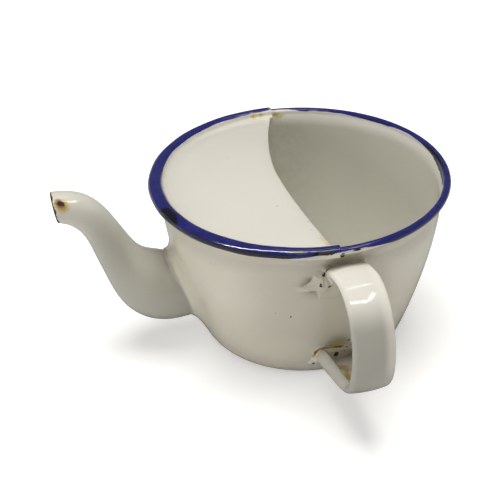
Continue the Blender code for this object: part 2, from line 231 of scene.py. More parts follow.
def make_object(name, vertices, faces):
    mesh = bpy.data.meshes.new(name)
    faces = [list(map(int, face)) for face in faces]
    mesh.from_pydata((np.asarray(vertices) * MM).tolist(), [], faces)
    mesh.validate(clean_customdata=False)
    mesh.update()
    mesh.shade_smooth()
    return add_object(name, mesh)


def loft(grid):
    """Surface closed both ways."""
    return grid.reshape(-1, 3), grid_faces(*grid.shape[:2], wrap_rows=True, wrap_columns=True)


def lathe(profile, count):
    """Solid of revolution; the profile starts and ends on the axis."""
    profile = np.array(profile)
    body = profile[1:-1]
    angle = np.arange(count) * 2 * math.pi / count
    radius, level = body[:, None, 0], np.repeat(body[:, 1:2], count, 1)
    vertices = np.stack([radius * np.cos(angle), radius * np.sin(angle), level], -1)
    vertices = vertices.reshape(-1, 3)
    rows = len(body)
    faces = grid_faces(rows, count, wrap_columns=True)[:, [0, 3, 2, 1]].tolist()
    first_pole, last_pole = len(vertices), len(vertices) + 1
    vertices = np.concatenate([vertices, [[0, 0, profile[0, 1]], [0, 0, profile[-1, 1]]]])
    last_row = (rows - 1) * count
    for k in range(count):
        after = (k + 1) % count
        faces.append([first_pole, after, k])
        faces.append([last_pole, last_row + k, last_row + after])
    return vertices, faces


def thick_sheet(middle, thickness, steps):
    """A sheet of the given thickness about a grid of points, with rounded edges."""
    rows, columns = middle.shape[:2]
    down, across = np.gradient(middle, axis=0), np.gradient(middle, axis=1)
    normal = unit(np.cross(down, across))
    half = 0.5 * thickness[..., None]
    top, bottom = middle + normal * half, middle - normal * half

    i, j = border(rows, columns)
    side_i = (i == rows - 1).astype(float) - (i == 0)
    side_j = (j == columns - 1).astype(float) - (j == 0)
    out = unit(across)[i, j] * side_j[:, None] + unit(down)[i, j] * side_i[:, None]
    edge_normal = normal[i, j]
    out = unit(out - edge_normal * np.einsum("ij,ij->i", out, edge_normal)[:, None])

    vertices = [top.reshape(-1, 3), bottom.reshape(-1, 3)]
    ring = i * columns + j
    levels = [ring]
    for k in range(1, steps):
        angle = math.pi * (0.5 - k / steps)
        turned = math.cos(angle) * out + math.sin(angle) * edge_normal
        vertices.append(middle[i, j] + half[i, j] * turned)
        levels.append((2 * rows * columns) + (k - 1) * len(ring) + np.arange(len(ring)))
    levels.append(rows * columns + ring)
    faces = both_sides(rows, columns)
    faces += [band_faces(upper, lower) for upper, lower in zip(levels, levels[1:])]
    vertices = np.concatenate(vertices)
    return vertices, outward(vertices, np.concatenate(faces))


# ---------------------------------------------------------------------------
# Shape of the wall and the rim
# ---------------------------------------------------------------------------
# (radius, z) of the curve that turns the foot up into the wall
CORNER_CURVE = [(FOOT_RADIUS, 0.0), (CORNER_RADIUS - 1.8, 0.0), (CORNER_RADIUS, CORNER_Z)]
CORNER_TABLE = bezier(200, *CORNER_CURVE)


def wall_radius(z):
    """Outer radius of the bowl at a height, without the rolled rim."""
    z = np.asarray(z, float)
    side = CREASE_RADIUS - 0.0276 * np.maximum(CREASE_Z - z, 0.0) ** 1.55
    side = np.where(z > CREASE_Z, CREASE_RADIUS + (z - CREASE_Z) * 0.32, side)
    low = np.interp(z, CORNER_TABLE[:, 1], CORNER_TABLE[:, 0])
    return np.where(z < CORNER_Z, low, side)


def off_wall(points, top=np.inf):
    """Distance outside the bowl's wall, whose radius stays the same above top."""
    radius = np.hypot(points[..., 0], points[..., 1])
    return radius - wall_radius(np.minimum(points[..., 2], top))


def rim_arc(tube, start, end, count):
    """(radius, z) points round the middle of the rim, between angles in degrees."""
    angle = np.radians(np.linspace(start, end, count))
    radius, z = BEAD_RADIUS + tube * np.cos(angle), BEAD_Z + tube * np.sin(angle)
    return np.stack([radius, z], -1).tolist()


# ---------------------------------------------------------------------------
# Where the enamel is blue, chipped, stained
# ---------------------------------------------------------------------------
# angle round the cup (0 is +X, 90 is +Y) and angle round the rolled rim
# (90 is the top, 180 faces the cup's axis) of the blue band's two edges
BAND_IN = [
    (0, 204), (5, 192), (10, 178), (14, 164), (24, 154), (32, 155), (35, 174), (44, 178),
    (54, 172), (58, 156), (66, 154), (72, 150), (75, 160), (77, 158), (79, 138), (82, 126),
    (86, 120), (89, 119), (91, 124), (96, 138), (112, 142), (123, 148), (150, 154), (170, 160),
    (180, 162), (188, 156), (196, 140), (206, 122), (220, 115), (240, 114), (249, 120),
    (256, 128), (263, 122), (269, 126), (280, 140), (300, 156), (330, 162), (337, 188),
    (341, 222), (347, 223), (355, 214),
]
BAND_OUT = [
    (0, -46), (50, -42), (84, -22), (92, -48), (150, -54), (200, -46), (226, -36), (240, -30),
    (252, -22), (257, -6), (262, 16), (268, 22), (274, 24), (280, 20), (285, -4), (292, -34),
    (330, -44),
]
# marks on the rim: angle round the cup, angle round the rim, half widths
RIM_CHIPS = [
    (265.3, 29, 3.2, 20), (276.2, 16, 1.8, 20), (270.6, -14, 1.0, 14), (66.0, 130, 2.4, 10),
    (147.0, -30, 1.8, 12), (118.0, 20, 1.0, 10), (12.0, -28, 1.4, 10), (176.0, -44, 2.2, 9),
]
# patches where the band looks near black: some are dark marks in the band; those on the inner side
# at the right and under the front left are painted shade
RIM_DARK_AND_SHADE = [
    (358.5, 165, 17.0, 58), (44.0, 180, 11.5, 26), (200.5, 30, 7.0, 76), (88.0, 70, 3.0, 50),
    (236.0, -32, 22.0, 18), (75.0, 158, 3.0, 18), (262.5, 20, 2.4, 22), (212.0, -34, 12.0, 14),
]
RIM_GREY = [(255.4, 44, 4.8, 20), (260.8, 52, 2.0, 12)]
# painted shadow on the bowl and weld above the handle's bottom end: x, y, z, radius, strength
LOW_SHADOW = [(1.6, -40.6, 17.4, 3.8, 0.6), (4.0, -40.2, 16.2, 2.6, 0.5)]


def cyclic(knots, degrees):
    table = np.array(sorted(knots), float)
    return np.interp(degrees % 360.0, table[:, 0], table[:, 1], period=360.0)


def rim_angles(points):
    """Degrees round the cup and round the rim."""
    x, y, z = points.T
    around = np.degrees(np.arctan2(y, x)) % 360.0
    roll = np.degrees(np.arctan2(z - BEAD_Z, np.hypot(x, y) - BEAD_RADIUS))
    return around, np.where(roll < -110.0, roll + 360.0, roll)


def blue_distance(points, tube):
    """Millimetres inside the blue band, negative outside."""
    around, roll = rim_angles(points)
    turn = np.radians(around)
    wave = 3.0 * np.sin(turn * 11 + 1.0) + 2.0 * np.sin(turn * 23 + 2.0)
    from_inner = cyclic(BAND_IN, around) + 0.6 * wave - roll
    from_outer = roll - cyclic(BAND_OUT, around) + wave
    return np.clip(np.radians(np.minimum(from_inner, from_outer)) * tube, -4.0, 4.0)


def rim_field(points, spots):
    around, roll = rim_angles(points)
    best = np.full(len(points), -1.0)
    for spot_around, spot_roll, half_around, half_roll in spots:
        gap = (around - spot_around + 180.0) % 360.0 - 180.0
        distance = np.sqrt((gap / half_around) ** 2 + ((roll - spot_roll) / half_roll) ** 2)
        best = np.maximum(best, 1.0 - distance)
    return best


def under_shade(points):
    """Painted shade: the band is darker along its lower edge at the front, and near black on its
    lower half at the front left.
    """
    around, roll = rim_angles(points)
    front = smooth(around, 186.0, 200.0) * smooth(around, 352.0, 330.0)
    front_left = smooth(around, 206.0, 216.0) * smooth(around, 260.0, 248.0)
    edge = 0.27 * smooth(roll, 18.0, -22.0) * front
    black = 0.44 * smooth(roll, 30.0, 2.0) * front_left
    return np.maximum(edge, black) - 0.05


def rim_shades(points):
    """The band's dark field (dark marks and painted shade) and grey field, shared by the bowl and
    the cover.
    """
    dark = np.maximum(rim_field(points, RIM_DARK_AND_SHADE), under_shade(points))
    return {"dark": dark, "grey": rim_field(points, RIM_GREY)}


def spot_field(points, spots):
    """Highest of 1 - distance/radius over a list of (x, y, z, radius)."""
    best = np.full(len(points), -1.0)
    for *centre, radius in spots:
        best = np.maximum(best, 1.0 - np.linalg.norm(points - centre, axis=1) / radius)
    return best


def front_spots(points, spots):
    """Pits laid out in the XZ plane: (x, z, half width, half height)."""
    best = np.full(len(points), -1.0)
    for x, z, half_width, half_height in spots:
        across, up = (points[:, 0] - x) / half_width, (points[:, 2] - z) / half_height
        best = np.maximum(best, 1.0 - np.hypot(across, up))
    return best


def stain_field(points, spots):
    """Sum of soft blobs (x, y, z, radius, strength)."""
    total = np.zeros(len(points))
    for *centre, radius, strength in spots:
        distance = np.linalg.norm(points - centre, axis=1) / radius
        total += strength * np.exp(-1.6 * distance * distance)
    return np.clip(total, 0.0, 1.0)


def wall_shade(points):
    """Painted shade on the wall behind the handle, over the middle of the front, and under the rim.
    """
    x, y, z = points.T
    handle = (y < -20) * smooth(x, -12.0, -2.0) * smooth(x, 24.0, 14.0) * smooth(z, 13.6, 16.6)
    middle = (y < 0) * smooth(x, -34.0, -18.0) * smooth(x, 26.0, 12.0) * smooth(z, 10.0, 26.0)
    under_rim = 0.30 * smooth(z, 44.0, 51.5)
    return 0.8 * np.maximum(np.maximum(0.33 * handle, 0.25 * middle), under_rim)


# painted shadow above the handle's bottom end, on the bowl and on its weld
def low_shadow(points):
    return smooth(points[:, 2], 14.4, 15.6) * stain_field(points, LOW_SHADOW)


def paint(obj, **fields):
    for name, values in fields.items():
        attribute = obj.data.attributes.new(name, "FLOAT", "POINT")
        attribute.data.foreach_set("value", np.asarray(values, np.float32))


def points_of(obj):
    flat = np.zeros(len(obj.data.vertices) * 3, np.float32)
    obj.data.vertices.foreach_get("co", flat)
    return flat.reshape(-1, 3).astype(float) / MM


# ---------------------------------------------------------------------------
# Materials
# ---------------------------------------------------------------------------
def srgb(*channels):
    def linear(channel):
        channel /= 255.0
        return channel / 12.92 if channel <= 0.04045 else ((channel + 0.055) / 1.055) ** 2.4

    return (*map(linear, channels), 1.0)


FLECK = srgb(120, 108, 88)
# grey that painted shade pulls the white towards
PAINTED_SHADE_TONE = (0.25, 0.247, 0.205, 1.0)
INNER_COAT = (0.825, 0.812, 0.725, 1.0)  # a shade greener
LIP_COAT = (0.80, 0.77, 0.71, 1.0)  # thicker and whiter
# brown-grey used both for dirt and for painted shade
GRIME_AND_SHADE = srgb(122, 112, 84)
BLUE_LOW, BLUE_HIGH = (0.014, 0.016, 0.125, 1), (0.024, 0.027, 0.19, 1)
BLUE_EDGE = (0.022, 0.026, 0.24, 1)
NEAR_BLACK = srgb(14, 13, 20)
WORN_GREY = srgb(86, 84, 78)
STEEL_DARK, STEEL_BROWN = srgb(22, 19, 18), srgb(62, 44, 34)
STEEL_ROUGHNESS = (0.52, 0.52, 0.52, 1.0)
# ramp position and colour: tan at the edge, then orange, then brown
RUST_STOPS = [
    (0.10, srgb(222, 206, 150)), (0.30, srgb(192, 166, 98)),
    (0.50, srgb(148, 104, 54)), (0.80, srgb(56, 36, 22)),
]


class Graph:
    """A material's node tree, with the noises that all its layers share."""

    def __init__(self, name):
        self.material = bpy.data.materials.new(name)
        self.material.use_nodes = True
        self.tree = self.material.node_tree
        self.tree.nodes.clear()
        self.out = self.node("ShaderNodeOutputMaterial")
        self.place = self.node("ShaderNodeTexCoord").outputs["Object"]
        self.broad = self.noise(scale=38.0, detail=2.0)
        self.middle = self.noise(scale=330.0, detail=3.0, rough=0.55)
        self.fine = self.noise(scale=1500.0, detail=3.0, rough=0.6)
        self.grain = self.noise(scale=5200.0, detail=2.0)
        self.middle_swing = self.math("SUBTRACT", self.middle, 0.5)
        self.fine_swing = self.math("SUBTRACT", self.fine, 0.5)

    def node(self, kind, **settings):
        node = self.tree.nodes.new(kind)
        for key, value in settings.items():
            setattr(node, key, value)
        return node

    def put(self, socket, value):
        if isinstance(value, bpy.types.NodeSocket):
            self.tree.links.new(value, socket)
        elif isinstance(value, tuple):
            socket.default_value = value
        else:
            socket.default_value = float(value)

    def math(self, operation, first, second):
        node = self.node("ShaderNodeMath", operation=operation)
        self.put(node.inputs[0], first)
        self.put(node.inputs[1], second)
        return node.outputs[0]

    def add(self, first, second):
        return self.math("ADD", first, second)

    def times(self, first, second):
        return self.math("MULTIPLY", first, second)

    def remap(self, value, low, high, to_low=0.0, to_high=1.0, kind="SMOOTHSTEP"):
        node = self.node("ShaderNodeMapRange", interpolation_type=kind, clamp=True)
        for socket, item in zip(node.inputs[:5], (value, low, high, to_low, to_high)):
            self.put(socket, item)
        return node.outputs["Result"]

    def mix(self, factor, first, second):
        node = self.node("ShaderNodeMix", data_type="RGBA", blend_type="MIX")
        self.put(node.inputs[0], factor)
        self.put(node.inputs[6], first)
        self.put(node.inputs[7], second)
        return node.outputs[2]

    def noise(self, scale, detail, rough=0.5):
        node = self.node("ShaderNodeTexNoise", noise_dimensions="3D")
        self.put(node.inputs["Vector"], self.place)
        self.put(node.inputs["Scale"], scale)
        self.put(node.inputs["Detail"], detail)
        self.put(node.inputs["Roughness"], rough)
        return node.outputs[0]

    def field(self, name):
        node = self.node("ShaderNodeAttribute", attribute_type="GEOMETRY", attribute_name=name)
        return node.outputs["Fac"]


def white_coat(graph, white, tint):
    """Slightly uneven white, yellower where it is thick, with small dark flecks."""
    colour = graph.mix(graph.remap(graph.broad, low=0.35, high=0.65), white, tint)
    cloud = graph.remap(graph.middle, low=0.52, high=0.75)
    colour = graph.mix(graph.times(cloud, 0.05), colour, tint)
    fleck = graph.remap(graph.noise(scale=760.0, detail=0.0), low=0.872, high=0.90)
    colour = graph.mix(graph.times(fleck, 0.4), colour, FLECK)
    # painted shade darkens the white first, then the inside's and the lip's own tones
    for field, coat in (("thin", PAINTED_SHADE_TONE), ("inner", INNER_COAT), ("lip", LIP_COAT)):
        colour = graph.mix(graph.field(field), colour, coat)
    # handling dirt, and painted shade in creases and recesses
    patchy = graph.remap(graph.middle, low=0.25, high=0.7, to_low=0.55, to_high=1.0)
    return graph.mix(graph.times(graph.field("grime"), patchy), colour, GRIME_AND_SHADE)


def blue_band(graph, colour):
    """Blue over the coat, near black in dark marks and in painted shade, grey where worn; also its
    mask.
    """
    # the noises fray the band's edge
    edge = graph.add(graph.field("blue"), graph.times(graph.middle_swing, 0.42))
    edge = graph.add(edge, graph.times(graph.fine_swing, 0.14))
    band = graph.remap(edge, low=-0.05, high=0.07)
    deep = graph.remap(edge, low=0.02, high=0.75)
    blues = graph.mix(graph.remap(graph.middle, low=0.35, high=0.7), BLUE_LOW, BLUE_HIGH)
    blues = graph.mix(deep, BLUE_EDGE, blues)
    # near black where the dark field says: partly dark marks, partly painted shade
    dark = graph.add(graph.field("dark"), graph.times(graph.middle_swing, 0.8))
    blues = graph.mix(graph.remap(dark, low=-0.05, high=0.34, to_high=0.94), blues, NEAR_BLACK)
    grey = graph.add(graph.field("grey"), graph.times(graph.middle_swing, 0.9))
    grey = graph.add(grey, graph.times(graph.fine_swing, 0.9))
    blues = graph.mix(graph.remap(grey, low=0.12, high=0.42, to_high=0.85), blues, WORN_GREY)
    return graph.mix(band, colour, blues), band


def rust_creep(graph, colour, roughness):
    """Rust that has crept out from bare steel, rougher than the enamel."""
    patchy = graph.remap(
        graph.middle, low=0.2, high=0.8, to_low=0.55, to_high=1.35, kind="LINEAR"
    )
    creep = graph.times(graph.field("rust"), patchy)
    creep = graph.add(creep, graph.times(graph.fine_swing, 0.22))
    node = graph.node("ShaderNodeValToRGB")
    ramp = node.color_ramp
    ramp.interpolation = "EASE"
    for element, stop in ((ramp.elements[0], RUST_STOPS[0]), (ramp.elements[1], RUST_STOPS[-1])):
        element.position, element.color = stop
    for position, value in RUST_STOPS[1:-1]:
        ramp.elements.new(position).color = value
    graph.put(node.inputs[0], creep)
    rusty = graph.remap(creep, low=0.06, high=0.34)
    colour = graph.mix(rusty, colour, node.outputs[0])
    return colour, graph.add(roughness, graph.times(rusty, 0.22))


def steel_chips(graph, colour, roughness, height):
    """Chips down to the dark steel, sunk and grainy; also their mask."""
    lost = graph.add(graph.field("chip"), graph.times(graph.fine_swing, 1.1))
    lost = graph.add(lost, graph.times(graph.middle_swing, 0.9))
    chip = graph.remap(lost, low=0.0, high=0.10)
    metal = graph.mix(graph.remap(graph.fine, low=0.4, high=0.7), STEEL_DARK, STEEL_BROWN)
    colour = graph.mix(chip, colour, metal)
    roughness = graph.mix(chip, roughness, STEEL_ROUGHNESS)
    height = graph.math("SUBTRACT", height, graph.times(chip, 1.6))
    height = graph.add(height, graph.times(graph.times(chip, graph.grain), 0.5))
    return colour, roughness, height, chip


def enamel(name, white, tint, blue=False, rough=0.13, peel=1.0):
    """Enamel over steel; peel is the strength of its orange-peel relief."""
    graph = Graph(name)
    colour = white_coat(graph, white, tint)
    height = graph.times(graph.middle, 0.62 * peel)
    height = graph.add(height, graph.times(graph.broad, 1.4 * peel))
    height = graph.add(height, graph.times(graph.fine, 0.05 * peel))
    roughness = graph.add(rough - 0.02, graph.times(graph.fine, 0.05))
    if blue:
        colour, band = blue_band(graph, colour)
        height = graph.add(height, graph.times(band, 0.35))  # a second, raised coat
    colour, roughness = rust_creep(graph, colour, roughness)
    colour, roughness, height, chip = steel_chips(graph, colour, roughness, height)

    bump = graph.node("ShaderNodeBump")
    shader = graph.node("ShaderNodeBsdfPrincipled")
    # the coat's gloss is lost where the enamel is chipped
    coat = graph.times(graph.math("SUBTRACT", 1.0, chip), 0.45)
    for node, inputs in (
        (bump, {"Strength": 0.55, "Distance": 0.00012, "Height": height}),
        (shader, {
            "Base Color": colour, "Roughness": roughness, "Normal": bump.outputs[0],
            "Coat Normal": bump.outputs[0], "IOR": 1.52, "Coat Weight": coat,
            "Coat Roughness": 0.035,
        }),
        (graph.out, {"Surface": shader.outputs[0]}),
    ):
        for socket, value in inputs.items():
            graph.put(node.inputs[socket], value)
    return graph.material


BOWL_COAT = {"white": (0.80, 0.762, 0.65, 1), "tint": (0.768, 0.725, 0.604, 1)}
BOWL_ENAMEL = enamel("bowl_enamel_white_and_blue", **BOWL_COAT, blue=True)
COVER_ENAMEL = enamel(
    "cover_enamel_white_and_blue",
    white=(0.752, 0.737, 0.662, 1), tint=(0.745, 0.722, 0.645, 1), blue=True,
)
SPOUT_ENAMEL = enamel(
    "spout_enamel_white", white=(0.76, 0.735, 0.65, 1), tint=(0.73, 0.705, 0.615, 1)
)
# painted light: the handle's white is lighter than the bowl's so that its top bend shows bright;
# painted shade darkens it lower down
STRAP_ENAMEL = enamel(
    "handle_enamel_white",
    white=(0.93, 0.90, 0.815, 1), tint=(0.925, 0.893, 0.805, 1), peel=0.3,
)
WELD_ENAMEL = enamel("weld_enamel_white", **BOWL_COAT, rough=0.15, peel=1.2)


def finish_piece(obj, material, slot, *nodes):
    obj.data.materials.append(material)
    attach(obj, "root")
    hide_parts(*nodes)


# ---------------------------------------------------------------------------
# Bowl
# ---------------------------------------------------------------------------
HOLE_RADIUS, HOLE_Z = 9.0, 21.8  # hole through the wall behind the spout
HOLE_SIDES = 72
HOLE_ENDS = (-56.0, -26.0)  # x

# x, y, z, radius, strength
BOWL_RUST = [
    (3.2, -39.9, 16.2, 4.2, 0.22), (0.4, -39.6, 15.4, 1.6, 0.3), (1.2, 47.6, 57.2, 2.4, 0.26),
    (4.2, 47.2, 56.8, 2.4, 0.22), (0.8, -48.3, 55.4, 1.5, 0.42), (4.8, -48.7, 56.0, 1.0, 0.2),
]
# painted shadow, with a brown stain, between the rim and the handle's top
BOWL_SHADOW_AND_STAIN = [
    (0.0, -47.2, 53.4, 3.6, 0.7), (5.0, -47.0, 53.8, 4.4, 0.75),
    (-3.6, -46.8, 50.8, 3.0, 0.6), (10.0, -46.2, 53.4, 3.4, 0.35),
]
# x, y, z, radius
BOWL_CHIPS = [
    (-18.1, -40.2, 32.0, 0.30), (-16.0, -41.2, 32.6, 0.26), (6.3, -39.6, 16.6, 0.5),
    (0.9, -48.1, 55.2, 0.72), (1.5, -48.2, 55.5, 0.5), (-13.5, -41.8, 31.0, 0.3),
    (12.0, 43.5, 41.0, 0.4), (-22.0, 36.5, 18.0, 0.4), (25.0, -14.0, 0.0, 1.4),
    (-20.0, -20.0, 0.0, 1.0), (-6.0, 28.6, 0.0, 1.6), (29.0, 6.0, 0.1, 1.1),
]


def bowl_inner_radius(z):
    """Inside, the lip starts a little higher than the crease and turns softly."""
    turn_z, softness, lean = 54.0, 0.8, 0.30
    low = float(wall_radius(min(z, CREASE_Z))) - WALL
    return low + lean * softness * math.log1p(math.exp((z - turn_z) / softness))


def bowl_profile():
    """(radius, z) from the foot's centre up the outside, over the rim and down the inside."""
    profile = [(0.0, 0.0)]
    profile += [(radius, 0.0) for radius in (3, 7, 11, 15, 19, 23, 26, 28.3)]
    profile += bezier(22, *CORNER_CURVE).tolist()
    levels = np.linspace(CORNER_Z, CREASE_Z, 40)[1:-1]
    profile += [(float(wall_radius(z)), z) for z in levels]
    # a soft crease, then the flared lip
    profile += [
        (CREASE_RADIUS + out, CREASE_Z + up) for out, up in ((-0.03, -0.35), (0.03, 0), (0.14, 0.35))
    ]
    flare = np.linspace(CREASE_Z + 0.8, 56.0, 7)
    profile += [(float(wall_radius(z)) + 0.02, z) for z in flare]
    bead = rim_arc(BEAD_TUBE, -98, 172, 46)
    profile += bead
    # the inner lip curves out to meet the end of the bead
    top = BEAD_Z - 0.35
    step = bead[-1][0] - bowl_inner_radius(top)
    for z in np.linspace(top, 50.0, 34):
        blend = max(0.0, 1 - (top - z) / 3.0) ** 2
        profile.append((bowl_inner_radius(z) + step * blend, z))
    profile += [(bowl_inner_radius(z), z) for z in levels[::-1] if z < 49.7]
    profile += bezier(
        18,
        (CORNER_RADIUS - WALL, CORNER_Z + 0.5),
        (CORNER_RADIUS - 2.9, WALL + 0.15),
        (FOOT_RADIUS - 0.5, WALL),
    ).tolist()
    profile += [(radius, WALL) for radius in (26.5, 23, 19, 15, 11, 7, 3, 0.0)]
    return profile


def hole_cutter():
    vertices = []
    for x in HOLE_ENDS:
        for i in range(HOLE_SIDES):
            angle = 2 * math.pi * (i + 0.5) / HOLE_SIDES
            y, up = HOLE_RADIUS * math.cos(angle), HOLE_RADIUS * math.sin(angle)
            vertices.append((x, y, HOLE_Z + up))
    faces = []
    for i in range(HOLE_SIDES):
        after = (i + 1) % HOLE_SIDES
        faces.append((i, after, HOLE_SIDES + after, HOLE_SIDES + i))
    faces += [tuple(reversed(range(HOLE_SIDES))), tuple(range(HOLE_SIDES, 2 * HOLE_SIDES))]
    cutter = make_object("hole_cutter", vertices, faces)
    edit = bmesh.new()
    edit.from_mesh(cutter.data)
    bmesh.ops.recalc_face_normals(edit, faces=edit.faces)
    edit.to_mesh(cutter.data)
    edit.free()
    return cutter


def cut_hole(obj):
    cutter = hole_cutter()
    hole = obj.modifiers.new("hole", "BOOLEAN")
    hole.operation, hole.solver, hole.object = "DIFFERENCE", "EXACT", cutter
    graph = bpy.context.evaluated_depsgraph_get()
    mesh = bpy.data.meshes.new_from_object(obj.evaluated_get(graph))
    obj.modifiers.clear()
    obj.data = mesh
    bpy.data.objects.remove(cutter, do_unlink=True)
    mesh.shade_smooth()
    mesh.set_sharp_from_angle(angle=math.radians(50))


def bowl_grime(points, radius, outside):
    x, y, z = points.T
    # painted shade under the rim, round the foot, and faintly up the wall
    grime = 0.55 * bell(z - 56.2, 0.9) * outside * (radius > 46)
    grime += 0.35 * bell(z - 0.3, 1.2) * (radius > 28)
    grime += 0.10 * smooth(z, 20, 2) * outside
    # patches under the foot
    grime += 0.34 * (z < 0.1) * (radius < FOOT_RADIUS + 0.5) * smooth(lumps(points, 18.0), 0.0, 0.8)
    # inside: painted shade low down and on the lip's back right, dirt in broad patches
    inside = (radius < wall_radius(z) - 0.6) & (z > 1.0)
    grime += inside * (0.10 * smooth(z, 14, 2) + 0.05 * smooth(lumps(points, 26.0), 0.1, 0.9))
    grime += inside * 0.22 * smooth(x, 24.0, 2.0) * smooth(y, 0.0, 20.0) * smooth(z, 57.0, 53.0)
    # painted shadow with a brown stain under the rim over the handle, and painted shadow above the
    # handle's bottom end
    grime = np.maximum(grime, 0.85 * stain_field(points, BOWL_SHADOW_AND_STAIN))
    return np.clip(np.maximum(grime, outside * low_shadow(points)), 0, 1)


def paint_bowl(obj):
    points = points_of(obj)
    x, y, z = points.T
    radius = np.hypot(x, y)
    outside = (radius > wall_radius(z) - 0.4) & (z < 56.5)
    bead = (np.hypot(radius - BEAD_RADIUS, z - BEAD_Z) < BEAD_TUBE + 0.8) | (z > 56.4)
    roll = rim_angles(points)[1]
    paint(
        obj,
        blue=np.where(bead, blue_distance(points, BEAD_TUBE), -4.0),
        chip=np.maximum(rim_field(points, RIM_CHIPS), spot_field(points, BOWL_CHIPS)),
        rust=stain_field(points, BOWL_RUST),
        grime=bowl_grime(points, radius, outside),
        **rim_shades(points),
        # painted shade on the outer wall
        thin=outside * wall_shade(points),
        inner=1.0 * (off_wall(points, top=CREASE_Z) < -0.5) * (z > 0.5),
        lip=smooth(z, 53.6, 56.0) * ((roll > 120) | (radius < 46.6)),
    )


def build_bowl():
    obj = make_object("enamel_bowl", *lathe(bowl_profile(), 400))
    cut_hole(obj)
    paint_bowl(obj)
    finish_piece(obj, BOWL_ENAMEL, "bowl_enamel", "bowl")


# ---------------------------------------------------------------------------
# Half cover: a panel over the -X side whose outer edge curls round the rim
# ---------------------------------------------------------------------------
COVER_ROWS, PANEL_COLUMNS = 230, 46
PANEL_RADIUS = 45.7
FREE_EDGE_HALF = 44.3  # half the length of the free edge, along y
CURL_TUBE, CURL_OUT = 1.75, 2.0  # middle and outer radius of the curl
PANEL_THICK, CURL_THICK = 0.8, 0.5
THICK_STEPS = [0.72, 0.64, 0.57, 0.52]  # from the panel to the curl
# (radius, z) from the panel up to the curl
CURL_LEAD = [(45.98, 57.12), (46.22, 57.22), (46.42, 57.36), (46.6, 57.6)]

COVER_RUST = [
    (-7.0, 46.2, 58.2, 2.0, 0.34), (-4.0, 46.4, 58.2, 1.8, 0.28), (-1.0, 45.8, 57.6, 1.6, 0.20),
    (-1.6, -42.9, 57.2, 2.6, 0.24), (-3.4, -40.4, 57.8, 2.0, 0.20), (-3.2, -38.6, 58.2, 0.8, 0.2),
    (-10.5, -0.7, 61.0, 0.8, 0.16), (-8.1, -24.2, 59.6, 0.9, 0.2), (0.3, -48.6, 56.2, 1.2, 0.4),
    (0.3, 48.6, 59.6, 1.2, 0.4),
]
COVER_CHIPS = [
    (-6.6, -24.4, 59.6, 0.28), (-5.4, -31.4, 58.9, 0.34), (-9.9, -1.2, 61.0, 0.22),
    (-30.0, 12.0, 59.3, 0.25), (-3.0, -38.2, 58.3, 0.3),
]


def cover_z(radius):
    """A dome with a slight groove near its edge."""
    return 61.2 - 4.25 * (radius / 47.0) ** 1.5 - 0.10 * bell(radius - 44.0, 2.4)


def cover_panel(turn, angle, fat):
    """Rows run from the bowed free edge out to the arc beside the rim."""
    edge_y = FREE_EDGE_HALF * np.sin(0.5 * math.pi * turn)
    edge_x = -0.59 - 8.64 * (1 - np.minimum(1, np.abs(edge_y) / 47.0) ** 1.65)
    arc_x, arc_y = (PANEL_RADIUS - fat) * np.cos(angle), (PANEL_RADIUS - fat) * np.sin(angle)
    share = np.linspace(0, 1, PANEL_COLUMNS)
    share = 0.35 * share + 0.65 * (share * share * (3 - 2 * share))
    x = edge_x[:, None] + (arc_x - edge_x)[:, None] * share
    y = edge_y[:, None] + (arc_y - edge_y)[:, None] * share
    radius = np.hypot(x, y)
    # the sheet turns down a little along its free edge
    inward = np.hypot(x - edge_x[:, None], y - edge_y[:, None])
    fade = smooth(np.hypot(arc_x - edge_x, arc_y - edge_y), 2.0, 9.0)[:, None]
    z = cover_z(radius) - 0.55 * fade * np.clip(1 - inward / 4.2, 0, 1) ** 2
    uneven = lumps(np.stack([x, y, 0 * x], -1), 34.0)
    z = z + 0.10 * uneven * smooth(PANEL_RADIUS - radius, 0, 8)
    return np.stack([x, y, z], -1)


def cover_curl(angle, fat):
    spine = np.array(CURL_LEAD + rim_arc(CURL_TUBE, 176, -62, 34))
    lead = np.arange(len(spine)) < len(CURL_LEAD)
    swell = 1 + (fat / CURL_TUBE)[:, None]
    away, up = spine[:, 0] - BEAD_RADIUS, spine[:, 1] - BEAD_Z
    radius = BEAD_RADIUS + np.where(lead, away - fat[:, None], away * swell)
    z = np.where(lead, spine[:, 1], BEAD_Z + up * (1 + 0.5 * (swell - 1)))
    radius = radius * (1 + 0.0012 * np.sin(angle * 17)[:, None])
    return np.stack([radius * np.cos(angle)[:, None], radius * np.sin(angle)[:, None], z], -1)


def cover_mesh():
    turn = np.linspace(-1, 1, COVER_ROWS)
    angle = math.pi - turn * (math.pi / 2)
    fat = 0.42 * bell(angle - math.radians(183), 0.62)  # the curl is thicker at the left
    middle = np.concatenate([cover_panel(turn, angle, fat), cover_curl(angle, fat)], 1)
    thickness = np.full(middle.shape[:2], CURL_THICK)
    thickness[:, :PANEL_COLUMNS] = PANEL_THICK
    thickness[:, PANEL_COLUMNS : PANEL_COLUMNS + len(THICK_STEPS)] = THICK_STEPS
    # spread the change in position along the sheet so that it has no kink
    start, stop = PANEL_COLUMNS - 2, PANEL_COLUMNS + 7
    for _ in range(4):
        before, after = middle[:, start - 1 : stop - 1], middle[:, start + 1 : stop + 1]
        middle[:, start:stop] = 0.25 * before + 0.5 * middle[:, start:stop] + 0.25 * after
    return thick_sheet(middle, thickness, steps=6)


